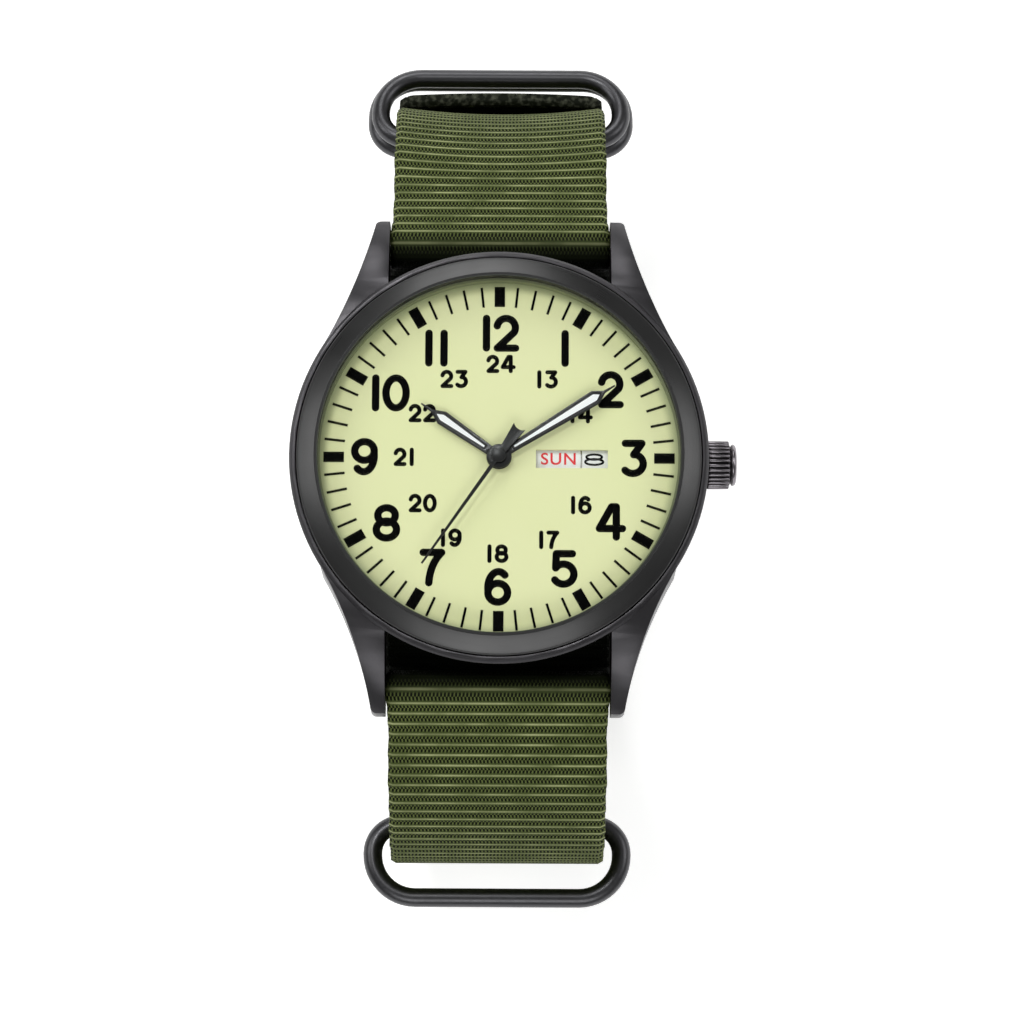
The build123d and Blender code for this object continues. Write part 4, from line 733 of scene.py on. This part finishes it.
def width_share(along, from_end):
    """How wide the webbing lies, as a share of its width."""
    near_bars = 1 - smooth((abs(along) - BARS_REACH) / BARS_FADE)
    at_lugs = 1 - smooth((abs(along) - LUGS_REACH) / LUGS_FADE)
    corner = 1 - sqrt(1 - max(1 - from_end / CORNER_REACH, 0) ** 2)
    return 1 + BARS_WIDER * near_bars + LUGS_WIDER * at_lugs - ROUNDED * corner


def wander(along, rib):
    """How far a selvedge strays outwards, in millimetres."""
    return sum(size * sin(pace * along + start) for size, pace, start in WANDER) + RIB_AT_EDGE * rib


print("main strap at its widest", round(STRAP_WIDTH * width_share(0, CORNER_REACH), 2), "mm")

# %% [markdown]
# Each cord lifts both faces into a rounded rib, and then the whole band is laid along its way. Two numbers a
# point, across and along in metres, go into its UV map, so that the weave follows the webbing round each
# fold. Two more become attributes: one is low deep in a fold, where shade is painted, and melt is high at
# the end that was cut with heat.

# %% Ribbed webbing
RIB_STEPS = 7
RIB_ROUNDNESS = 0.7
MELT_REACH, MELT_FADE = 1.3, 0.5


def webbing(name, low, high, width, place, bow, shade_at):
    """A ribbed band from low to high along a way; bow lifts it, and the last argument says how much shade is
    painted on it.
    """
    section = band_section(width / 2, THICKNESS / 2 - RIB_HEIGHT / 2)
    around = len(section)
    rows = round((high - low) / RIB_PITCH * RIB_STEPS)
    mesh = bmesh.new()
    bmesh.ops.create_grid(mesh, x_segments=around, y_segments=rows, size=0.5)
    layers = {key: mesh.verts.layers.float.new(key) for key in ("across", "along", "painted_lightness", "melt")}
    for vert in mesh.verts:
        across, up, share = section[round((vert.co.x + 0.5) * around) % around]
        along = low + (vert.co.y + 0.5) * (high - low)
        rib = abs(sin(pi * along / RIB_PITCH)) ** RIB_ROUNDNESS - 0.5
        lift = up + RIB_HEIGHT * share * rib * (1 if up > 0 else -1)
        vert[layers["across"]] = across * MM
        vert[layers["along"]] = along * MM
        vert[layers["painted_lightness"]] = 1 - shade_at(up, along)
        vert[layers["melt"]] = 1 - smooth((along - low - MELT_REACH) / MELT_FADE)
        at_edge = max(abs(across) / (width / 2) - (1 - SELVEDGE), 0) / SELVEDGE
        outwards = 1 if across > 0 else -1
        across = across * width_share(along, along - low) + outwards * at_edge * wander(along, rib)
        y, z = place(along, lift + bow(across / (width / 2), along))
        vert.co = (across * MM, y * MM, z * MM)
    bmesh.ops.remove_doubles(mesh, verts=mesh.verts, dist=WELD)
    bmesh.ops.holes_fill(mesh, edges=[edge for edge in mesh.edges if edge.is_boundary], sides=0)
    bmesh.ops.recalc_face_normals(mesh, faces=mesh.faces)
    smooth_faces(mesh)
    weave = mesh.loops.layers.uv.new("weave")
    for face in mesh.faces:
        for loop in face.loops:
            loop[weave].uv = (loop.vert[layers["across"]], loop.vert[layers["along"]])
    return finish_piece(name, mesh)


def laid_on(near, far):
    """A function that gives the place on a way towards 12 o'clock, or on the one towards 6."""
    def place(along, lift):
        if along >= 0:
            return on_way(near, along, lift)
        y, z = on_way(far, -along, lift)
        return -y, z
    return place


main_place = laid_on(strap_near, strap_far)
under_place = laid_on(under_near, under_far)
print("main strap's sewn end at", [round(c, 2) for c in main_place(near_length, 0)])

# %% [markdown]
# A flat band would look stiff. On the 12 o'clock side the visible layer cups outwards at its selvedges, and
# the loose tail behind it bows the other way and stands off a little, which leaves the dark slit between
# them. Shade is painted on the webbing under the case and at the spring bars, and on the tail's inner face,
# where the layer before it covers it.

# %% Lay the main strap
CUP_START, CUP_IN, CUP_END, CUP_OUT = 32.0, 6.0, 62.0, 10.0
CUP, CUP_CURVE, CUP_DIP = 0.5, 1.5, 0.4
TAIL_RISE, TAIL_LIFT, TAIL_CURVE = 34.0, 0.75, 0.35
# Painted shade: the webbing is darkened over these reaches of the folds and on the tail's hidden inner face.
FOLD_REACH, FOLD_FADE = 24.6, 2.8
HIDDEN_REACH, HIDDEN_FADE, OPEN_END = 14.0, 8.0, 0.9
INNER_SIDE = 0.2


def main_bow(across, along):
    """The selvedges cup outwards on the 12 side, and the tail's middle stands off near its end."""
    cup = CUP * smooth((along - CUP_START) / CUP_IN) * smooth((CUP_END - along) / CUP_OUT)
    tail = smooth((-along - far_length + TAIL_RISE) / TAIL_RISE)
    return cup * (CUP_CURVE * across ** 2 - CUP_DIP) + tail * (TAIL_LIFT - TAIL_CURVE * across ** 2)


def main_deep(up, along):
    """How much shade is painted on the folds under the case and the tail's hidden inner face, from 0 to 1.
    """
    fold = 1 - smooth((abs(along) - FOLD_REACH) / FOLD_FADE)
    from_end = along + far_length
    if up >= INNER_SIDE or from_end <= OPEN_END:
        return fold
    return max(fold, 1 - smooth((from_end - HIDDEN_REACH) / HIDDEN_FADE))


strap = webbing("main_webbing", -far_length, near_length, STRAP_WIDTH, main_place, main_bow, main_deep)
print("main webbing", len(strap.data.polygons), "faces")

# %% [markdown]
# The short under strap lies on the wrist side of the main one below the case. A pocket at one end holds
# the two rings on the 12 side, and a fold at the other end holds the third ring. It is a plain band
# without a bow, so it needs only its own way and width.

# %% Lay the under strap
under = webbing("under_webbing", -under_far_length, under_near_length, UNDER_WIDTH, under_place,
                lambda across, along: 0.0, lambda up, along: 0.0)
print("under webbing", len(under.data.polygons), "faces")

# %% [markdown]
# Nylon yarn shines softly. A highlight is painted along the top of each cord, and shade is painted between
# the cords. Fine warp yarns, 0.36 mm apart, cross every cord and lean a little, which gives the rows of
# small teeth. The material reads across and along from the webbing's own UV map, so the pattern turns with
# it. The first part finds the rows and the teeth.

# %% Rows and teeth of the weave
YARN_PITCH = 0.36
NYLON_SHINE = 0.08
nylon, tree, shader = start_material("Ribbed nylon webbing, dyed olive", "47552C", 0.0, 0.6)
shader.inputs["Specular IOR Level"].default_value = NYLON_SHINE
uv = add(tree, "ShaderNodeUVMap", {"uv_map": "weave"})
parts = add(tree, "ShaderNodeSeparateXYZ", {}, {0: uv.outputs[0]})
ribs = add(tree, "ShaderNodeMath", {"operation": "DIVIDE", 1: RIB_PITCH * MM}, {0: parts.outputs["Y"]})
phase = add(tree, "ShaderNodeMath", {"operation": "FRACT"}, {0: ribs.outputs[0]})
count = add(tree, "ShaderNodeMath", {"operation": "FLOOR"}, {0: ribs.outputs[0]})
odd = add(tree, "ShaderNodeMath", {"operation": "PINGPONG", 1: 1.0}, {0: count.outputs[0]})
slant = add(tree, "ShaderNodeMapRange", {"From Min": 0.0, "From Max": 1.0, "To Min": -0.5, "To Max": 0.5},
            {"Value": odd.outputs[0]})
yarns = add(tree, "ShaderNodeMath", {"operation": "DIVIDE", 1: YARN_PITCH * MM}, {0: parts.outputs["X"]})
lean = add(tree, "ShaderNodeMath", {"operation": "MULTIPLY_ADD"},
           {0: phase.outputs[0], 1: slant.outputs[0], 2: yarns.outputs[0]})
yarn_turn = add(tree, "ShaderNodeMath", {"operation": "MULTIPLY", 1: 2 * pi}, {0: lean.outputs[0]})
tooth = add(tree, "ShaderNodeMath", {"operation": "SINE"}, {0: yarn_turn.outputs[0]})
rib_turn = add(tree, "ShaderNodeMath", {"operation": "MULTIPLY", 1: 2 * pi}, {0: phase.outputs[0]})
rib_wave = add(tree, "ShaderNodeMath", {"operation": "COSINE"}, {0: rib_turn.outputs[0]})
valley = add(tree, "ShaderNodeMapRange",
             {"From Min": -0.6, "From Max": 0.35, "interpolation_type": "SMOOTHSTEP"},
             {"Value": rib_wave.outputs[0]})
# Painted highlight mask: the top of each cord.
top = add(tree, "ShaderNodeMapRange",
          {"From Min": -1.0, "From Max": -0.7, "To Min": 1.0, "To Max": 0.0,
           "interpolation_type": "SMOOTHSTEP"},
          {"Value": rib_wave.outputs[0]})
fray = add(tree, "ShaderNodeTexNoise", {"Scale": 1 / (0.5 * MM), "Detail": 3.0}, {"Vector": uv.outputs[0]})
bite = add(tree, "ShaderNodeMath", {"operation": "MULTIPLY_ADD", 1: 0.7},
           {0: fray.outputs["Fac"], 2: tooth.outputs[0]})
teeth = add(tree, "ShaderNodeMapRange",
            {"From Min": -0.05, "From Max": 0.95, "interpolation_type": "SMOOTHSTEP"},
            {"Value": bite.outputs[0]})
print("weave", len(tree.nodes), "nodes")

# %% [markdown]
# The body of a cord is a dark olive that frays from yarn to yarn. Between the cords the teeth stand olive
# before near black gaps of painted shade, and the top of a cord carries a thin pale painted highlight that
# comes and goes along the strap.

# %% Colours of the weave, with painted highlight and shade
drift = add(tree, "ShaderNodeTexNoise", {"Scale": 1 / (4 * MM), "Detail": 2.0}, {"Vector": uv.outputs[0]})
body = add(tree, "ShaderNodeMix", {"data_type": "RGBA", 6: colour("3B461E"), 7: colour("505B31")},
           {0: fray.outputs["Fac"]})
# Painted shade: near black gaps between the teeth, in the valleys between the cords.
gap = add(tree, "ShaderNodeMix", {"data_type": "RGBA", 6: colour("060A02"), 7: colour("636E3C")},
          {0: teeth.outputs[0]})
low = add(tree, "ShaderNodeMix", {"data_type": "RGBA"},
          {0: valley.outputs[0], 6: body.outputs[2], 7: gap.outputs[2]})
highlight_drift = add(tree, "ShaderNodeMapRange", {"From Min": 0.35, "From Max": 0.65, "To Min": 0.35, "To Max": 1.0},
            {"Value": drift.outputs["Fac"]})
line = add(tree, "ShaderNodeMath", {"operation": "MULTIPLY"}, {0: top.outputs[0], 1: highlight_drift.outputs[0]})
# Painted highlight: a thin pale line along the top of each cord.
high = add(tree, "ShaderNodeMix", {"data_type": "RGBA", 7: colour("A4AA7A")},
           {0: line.outputs[0], 6: low.outputs[2]})
height = add(tree, "ShaderNodeMath", {"operation": "MULTIPLY"}, {0: teeth.outputs[0], 1: valley.outputs[0]})
bump = add(tree, "ShaderNodeBump", {"Strength": 0.8, "Distance": 0.12 * MM}, {"Height": height.outputs[0]})
tree.links.new(shader.inputs["Normal"], bump.outputs[0])
print("weave with its colours", len(tree.nodes), "nodes")

# %% [markdown]
# One attribute paints shade on the webbing deep in its folds. The melt attribute turns the end that was cut
# with heat into a dark crust with paler spots. Then both bands take the places of their solids.

# %% Painted shade in the folds, and melted ends
# Painted shade: a near black olive deep in the folds, mixed in by the painted lightness attribute.
painted_lightness = add(tree, "ShaderNodeAttribute", {"attribute_name": "painted_lightness"})
with_painted_shade = add(tree, "ShaderNodeMix", {"data_type": "RGBA", 6: colour("0C1006")},
           {0: painted_lightness.outputs["Fac"], 7: high.outputs[2]})
place = add(tree, "ShaderNodeTexCoord")
scorch = add(tree, "ShaderNodeTexNoise", {"Scale": 1 / (0.6 * MM), "Detail": 3.0},
             {"Vector": place.outputs["Object"]})
spots = add(tree, "ShaderNodeMapRange", {"From Min": 0.45, "From Max": 0.68},
            {"Value": scorch.outputs["Fac"]})
crust = add(tree, "ShaderNodeMix", {"data_type": "RGBA", 6: colour("14170E"), 7: colour("4C4E42")},
            {0: spots.outputs[0]})
melt = add(tree, "ShaderNodeAttribute", {"attribute_name": "melt"})
ended = add(tree, "ShaderNodeMix", {"data_type": "RGBA"},
            {0: melt.outputs["Fac"], 6: with_painted_shade.outputs[2], 7: crust.outputs[2]})
tree.links.new(shader.inputs["Base Color"], ended.outputs[2])
for piece, node in ((strap, "main_strap"), (under, "under_strap")):
    piece.data.materials.append(nylon)
    stand_in(piece, node, "watch")
print("webbing material", len(tree.nodes), "nodes")

# %% [markdown]
# The folds at the buckle and the under strap's two ends are sewn through. Each row of thread lies across
# the webbing, one stitch every 1.5 mm. A stitch is a short round rod like a ridge of the crown, laid
# across the webbing and half sunk in its face.

# %% Stitching
THREAD_RADIUS, STITCH, STITCH_PITCH = 0.17, 0.85, 1.5
MAIN_SEAM, UNDER_SEAM = 9.6, 8.6
FOLD_ROWS, POCKET_ROWS, LOOP_ROW = (1.6, 7.0), (1.5, 4.5), 1.6


def stitch_row(mesh, place, along, half_width):
    """Rows of stitches across both faces of a webbing, at a distance along it."""
    count = int(2 * half_width / STITCH_PITCH)
    for lift in (-THICKNESS / 2, THICKNESS / 2):
        y, z = place(along, lift)
        for index in range(count):
            x = (index - (count - 1) / 2) * STITCH_PITCH
            stitch = round_rod(mesh, THREAD_RADIUS, STITCH)
            bmesh.ops.rotate(mesh, verts=stitch, cent=(0, 0, 0), matrix=Matrix.Rotation(pi / 2, 3, "Y"))
            bmesh.ops.translate(mesh, verts=stitch, vec=((x - STITCH / 2) * MM, y * MM, z * MM))


mesh = bmesh.new()
for inset in FOLD_ROWS:
    stitch_row(mesh, main_place, near_length - inset, MAIN_SEAM)
for inset in POCKET_ROWS:
    stitch_row(mesh, under_place, under_near_length - inset, UNDER_SEAM)
stitch_row(mesh, under_place, LOOP_ROW - under_far_length, UNDER_SEAM)
smooth_faces(mesh)
nylon_thread = grained("Bonded nylon thread, dyed olive", "4A5430", "3C4626", 0.5, grain=0.08)
stitches = finish_piece("strap_stitching", mesh, nylon_thread)
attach(stitches, "watch")
print("stitching", len(stitches.data.polygons), "faces")

# %% [markdown]
# The numerals are drawn, not set in a font. Their strokes have an even width and round ends, the one is a
# plain bar, and the three has a flat top. Each digit is a few lines and arcs on a unit height, which a
# curve with a round bevel turns into strokes. Pressed flat, they are raised ink of the printed thickness.

# %% Digits as strokes
def arc(centre_x, centre_y, reach_x, reach_y, start, end, steps=22):
    """Points of an arc between two angles in degrees."""
    points = []
    for index in range(steps + 1):
        angle = radians(start + (end - start) * index / steps)
        points.append((centre_x + reach_x * cos(angle), centre_y + reach_y * sin(angle)))
    return points


def bend(first, control, last, steps=12):
    """Points of a simple curve with one control point."""
    points = []
    for index in range(steps + 1):
        t = index / steps
        points.append(tuple((1 - t) ** 2 * a + 2 * t * (1 - t) * b + t * t * c
                            for a, b, c in zip(first, control, last)))
    return points


SIX = [arc(0, -0.19, 0.32, 0.31, 180, -180), arc(0.02, -0.03, 0.34, 0.53, 190, 52)]
DIGITS = {
    "0": (0.66, [arc(0, 0, 0.33, 0.5, 90, -270, 32)]),
    "1": (0.0, [[(0, 0.5), (0, -0.5)]]),
    "2": (0.62, [arc(0.0, 0.19, 0.3, 0.31, 170, -32) + [(-0.29, -0.5), (0.31, -0.5)]]),
    "3": (0.66, [[(-0.27, 0.5), (0.27, 0.5), (0.0, 0.12)] + arc(-0.03, -0.18, 0.34, 0.32, 72, -138)]),
    "4": (0.76, [[(0.18, -0.5), (0.18, 0.5), (0.03, 0.5), (-0.37, -0.22), (0.38, -0.22)]]),
    "5": (0.66, [[(0.27, 0.5), (-0.25, 0.5), (-0.27, 0.03)] + arc(-0.02, -0.17, 0.34, 0.33, 122, -145)]),
    "6": (0.64, SIX),
    "7": (0.6, [[(-0.3, 0.5)] + bend((0.3, 0.5), (-0.07, 0.12), (-0.11, -0.5))]),
    "8": (0.66, [arc(0, 0.25, 0.285, 0.25, 90, -270, 28), arc(0, -0.22, 0.33, 0.28, 90, -270, 28)]),
    "9": (0.64, [[(-x, -y) for x, y in path] for path in SIX])}
print("digits", len(DIGITS))

# %% [markdown]
# A path becomes a curve with a round bevel, one curve for each stretch between sharp corners, because a
# bevel narrows where its path turns sharply. It is made a mesh first, and a ball closes each end and
# corner, so that the stroke turns smoothly. Then it is pressed to the ink's thickness and set on its
# surface.

# %% Strokes to flat print
SHARP_TURN = radians(25)
BALL_SIDES, BALL_RINGS = 14, 8


def stretches_of(points):
    """Splits a path at its sharp corners."""
    stretches = [[points[0]]]
    for before, point, after in zip(points, points[1:], points[2:]):
        stretches[-1].append(point)
        turned_by = abs(atan2(point[1] - before[1], point[0] - before[0]) -
                        atan2(after[1] - point[1], after[0] - point[0]))
        if min(turned_by, 2 * pi - turned_by) > SHARP_TURN:
            stretches.append([point])
    stretches[-1].append(points[-1])
    return stretches


def stroke_mesh(target, paths, width, thick, move):
    """Adds flattened strokes to a bmesh; move places a point (x, y) in the plane."""
    for path in paths:
        for placed in stretches_of([move(x, y) for x, y in path]):
            curve = bpy.data.curves.new("stroke", "CURVE")
            curve.dimensions = "3D"
            curve.bevel_depth = width / 2
            curve.bevel_resolution = 2
            spline = curve.splines.new("POLY")
            spline.points.add(len(placed) - 1)
            for point, (x, y) in zip(spline.points, placed):
                point.co = (x, y, 0, 1)
            carrier = bpy.data.objects.new("stroke", curve)
            data = bpy.data.meshes.new_from_object(carrier)
            stroke = bmesh.new()
            stroke.from_mesh(data)
            for x, y in (placed[0], placed[-1]):
                bmesh.ops.create_uvsphere(stroke, u_segments=BALL_SIDES, v_segments=BALL_RINGS,
                                          radius=width / 2, matrix=Matrix.Translation((x, y, 0)))
            bmesh.ops.scale(stroke, verts=stroke.verts, vec=(1, 1, thick / width))
            smooth_faces(stroke)
            stroke.to_mesh(data)
            stroke.free()
            target.from_mesh(data)
            bpy.data.objects.remove(carrier)
            bpy.data.curves.remove(curve)
            bpy.data.meshes.remove(data)


def number(target, text, centre, height, stroke, gap, thick, stretch=1.0, turn_by=0.0):
    """Draws a number about a centre; height and stroke are the inked sizes, all in millimetres."""
    tall = height - stroke
    widths = [DIGITS[digit][0] * tall * stretch + stroke for digit in text]
    left = -(sum(widths) + gap * (len(text) - 1)) / 2
    for digit, wide in zip(text, widths):
        middle = left + wide / 2
        left += wide + gap

        def move(x, y, middle=middle):
            flat_x, flat_y = middle + x * tall * stretch, y * tall
            return ((centre[0] + flat_x * cos(turn_by) - flat_y * sin(turn_by)) * MM,
                    (centre[1] + flat_x * sin(turn_by) + flat_y * cos(turn_by)) * MM)
        stroke_mesh(target, DIGITS[digit][1], stroke * MM, thick * MM, move)


# %% [markdown]
# The dial has two circles of numerals, the hours 1 to 12 and, smaller inside them, 13 to 24. They aren't
# set on perfect circles: each is moved to where it looks even, and there is no 15, because the calendar
# window takes its place.

# %% Print the dial's numerals
INK, INK_CENTRE = 0.04, 0.012
HOUR_HEIGHT, HOUR_STROKE, HOUR_GAP, ELEVEN_GAP = 3.77, 0.74, 0.28, 0.76
LATE_HEIGHT, LATE_STROKE, LATE_GAP, LATE_ONE_GAP = 1.86, 0.41, 0.12, 0.3
HOURS = {"12": (0.14, 12.63), "1": (6.51, 11.11), "2": (11.03, 6.94), "3": (13.3, 0.0),
         "4": (11.03, -6.39), "5": (6.44, -11.11), "6": (-0.06, -12.93), "7": (-6.5, -11.04),
         "8": (-11.05, -6.6), "9": (-13.3, 0.04), "10": (-10.75, 6.5), "11": (-6.27, 11.08)}
LATE_HOURS = {"24": (0.14, 9.5), "13": (4.79, 7.95), "14": (8.16, 4.44), "16": (8.14, -4.72),
              "17": (4.98, -8.22), "18": (-0.06, -9.62), "19": (-4.65, -8.05), "20": (-7.51, -4.6),
              "21": (-9.43, 0.04), "22": (-7.63, 4.47), "23": (-4.48, 7.95)}
mesh = bmesh.new()
for text, centre in HOURS.items():
    number(mesh, text, centre, HOUR_HEIGHT, HOUR_STROKE, ELEVEN_GAP if text == "11" else HOUR_GAP, INK)
for text, centre in LATE_HOURS.items():
    number(mesh, text, centre, LATE_HEIGHT, LATE_STROKE, LATE_ONE_GAP if "1" in text else LATE_GAP, INK)
bmesh.ops.translate(mesh, verts=mesh.verts, vec=(0, 0, DIAL_TOP + INK_CENTRE * MM))
numerals = finish_piece("dial_numerals", mesh, print_ink)
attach(numerals, "watch")
print("numerals", len(numerals.data.polygons), "faces")

# %% [markdown]
# Under the windows, the day disc and the date disc are printed all the way round, although only one day
# and one date show. The dates use the same drawn digits, wider and thinner, and each is turned with its
# place on the disc.

# %% Print the dates
DISC_TOP = 6.66
DISC_INK, DISC_INK_CENTRE = 0.02, 0.006
DATE_RADIUS, DATES, DATE_SHOWN = 9.42, 31, 8
DATE_HEIGHT, DATE_STROKE, DATE_GAP = 1.26, 0.22, 0.12
ONE_DIGIT, TWO_DIGITS = 2.6, 1.15
mesh = bmesh.new()
for date in range(1, DATES + 1):
    angle = radians((DATE_SHOWN - date) * 360 / DATES)
    centre = (DATE_RADIUS * cos(angle), DATE_RADIUS * sin(angle))
    stretch = TWO_DIGITS if date > 9 else ONE_DIGIT
    number(mesh, str(date), centre, DATE_HEIGHT, DATE_STROKE, DATE_GAP, DISC_INK, stretch, angle)
bmesh.ops.translate(mesh, verts=mesh.verts, vec=(0, 0, (DISC_TOP + DISC_INK_CENTRE) * MM))
dates = finish_piece("date_numbers", mesh, print_ink)
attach(dates, "date")
print("dates", len(dates.data.polygons), "faces")

# %% [markdown]
# The days are plain letters, stretched a little both ways, and Sunday is red. Each word is text that is
# made a mesh first and then turned and set in place, so that its object stays unturned at the origin.

# %% Print the days
DAYS = ("SUN", "MON", "TUE", "WED", "THU", "FRI", "SAT")
DAY_RADIUS, LETTER_SIZE = 5.9, 1.52
LETTER_BOLD, LETTER_SPACING = 0.02, 1.12
LETTER_WIDER, LETTER_TALLER = 1.14, 1.1
red_ink = grained("Red pad printed ink", "F0202C", "E81C28", 0.5, grain=0.04)


def word(text, name, radius, turn_by, finish):
    """Flat letters at a radius on the day disc, turned with their place."""
    letters = bpy.data.curves.new(name, "FONT")
    letters.body = text
    letters.size = LETTER_SIZE * MM
    letters.align_x = "CENTER"
    letters.align_y = "CENTER"
    letters.extrude = DISC_INK_CENTRE * MM
    letters.offset = LETTER_BOLD * MM
    letters.space_character = LETTER_SPACING
    carrier = bpy.data.objects.new(name, letters)
    data = bpy.data.meshes.new_from_object(carrier)
    bpy.data.objects.remove(carrier)
    bpy.data.curves.remove(letters)
    spot = Vector((radius * cos(turn_by), radius * sin(turn_by), DISC_TOP + DISC_INK_CENTRE)) * MM
    data.transform(Matrix.Translation(spot) @ Matrix.Rotation(turn_by, 4, "Z") @
                   Matrix.Diagonal((LETTER_WIDER, LETTER_TALLER, 1, 1)))
    data.materials.clear()
    data.materials.append(finish)
    piece = bpy.data.objects.new(name, data)
    bpy.context.scene.collection.objects.link(piece)
    return piece


for index, text in enumerate(DAYS):
    angle = radians(-index * 360 / len(DAYS))
    day = word(text, "day_" + text.lower(), DAY_RADIUS, angle, red_ink if index == 0 else print_ink)
    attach(day, "day")
print("days", len(DAYS))

# %% [markdown]
# The studio is a white floor under the watch and a plain white world at a low level. The camera sees the
# world and the far floor as pure white, as on a cut-out product picture, and nearer floor is lifted less,
# so that it keeps the watch's shadow. Glass and metal see the lifted floor too.

# %% Floor
FLOOR_Z = cad_box[0][2]
FLOOR_HALF = 3.0
LIFT_NEAR, LIFT_FAR = 0.45, 1.0
NEAR_FLOOR, FAR_FLOOR = 0.1, 0.7
mesh = bmesh.new()
bmesh.ops.create_grid(mesh, x_segments=2, y_segments=2, size=FLOOR_HALF)
bmesh.ops.translate(mesh, verts=mesh.verts, vec=(0, 0, FLOOR_Z))
floor_paper, tree, shader = start_material("White studio paper", "FFFFFF", 0.0, 0.9)
shader.inputs["Specular IOR Level"].default_value = 0.0
path = add(tree, "ShaderNodeLightPath")
seen = add(tree, "ShaderNodeMath", {"operation": "MAXIMUM"},
           {0: path.outputs["Is Camera Ray"], 1: path.outputs["Is Transmission Ray"]})
shown = add(tree, "ShaderNodeMath", {"operation": "MAXIMUM"},
            {0: seen.outputs[0], 1: path.outputs["Is Glossy Ray"]})
place = add(tree, "ShaderNodeTexCoord")
reach = add(tree, "ShaderNodeVectorMath", {"operation": "LENGTH"}, {0: place.outputs["Object"]})
fading = add(tree, "ShaderNodeMapRange",
             {"From Min": NEAR_FLOOR, "From Max": FAR_FLOOR, "To Min": LIFT_NEAR, "To Max": LIFT_FAR},
             {"Value": reach.outputs["Value"]})
lift = add(tree, "ShaderNodeMath", {"operation": "MULTIPLY"}, {0: shown.outputs[0], 1: fading.outputs[0]})
shader.inputs["Emission Color"].default_value = colour("FFFFFF")
tree.links.new(shader.inputs["Emission Strength"], lift.outputs[0])
floor = finish_piece("studio_floor", mesh, floor_paper)
print("floor at", round(FLOOR_Z / MM, 3), "mm")

# %% World
WORLD_LEVEL = 0.28
world = bpy.data.worlds.new("studio")
bpy.context.scene.world = world
world.use_nodes = True
sky = world.node_tree.nodes["Background"]
sky.inputs["Color"].default_value = colour("FFFFFF")
path = add(world.node_tree, "ShaderNodeLightPath")
level = add(world.node_tree, "ShaderNodeMapRange", {"To Min": WORLD_LEVEL, "To Max": 1.0},
            {"Value": path.outputs["Is Camera Ray"]})
world.node_tree.links.new(sky.inputs["Strength"], level.outputs[0])
print("world level", WORLD_LEVEL)

# %% [markdown]
# Four soft lamps stand low round the watch, and the bezel shows one pale band for each and goes dark
# between them, as the real satin ring does. A small high lamp beyond 11 o'clock gives the hands their
# crisp shadows, down to the right. Each lamp is a rectangle a metre from the watch, given by its
# direction, width, height and power.

# %% Lamps
LAMPS = {"lamp_12": ((-0.1, 0.874, 0.486), 0.45, 0.45, 2.4),
         "lamp_6": ((0, -0.7, 0.714), 0.8, 0.42, 2.9),
         "lamp_3": ((0.744, 0.199, 0.636), 0.45, 0.45, 1.45),
         "lamp_9": ((-0.744, 0.199, 0.636), 0.45, 0.45, 1.65),
         "lamp_high": ((-0.22, 0.3, 0.93), 0.2, 0.2, 2.2)}
for name, (direction, wide, tall, power) in LAMPS.items():
    data = bpy.data.lights.new(name, "AREA")
    data.shape = "RECTANGLE"
    data.size = wide
    data.size_y = tall
    data.energy = power
    piece = bpy.data.objects.new(name, data)
    bpy.context.scene.collection.objects.link(piece)
    way = Vector(direction).normalized()
    piece.matrix_world = Matrix.Translation(way) @ way.to_track_quat("Z", "Y").to_matrix().to_4x4()
bpy.context.scene.view_settings.view_transform = "Standard"
print("lamps", len(LAMPS))

# %% [markdown]
# The last step prints the box of the solids.

# %% Sizes
print("cad", [[round(c / MM, 2) for c in corner] for corner in cad_box])
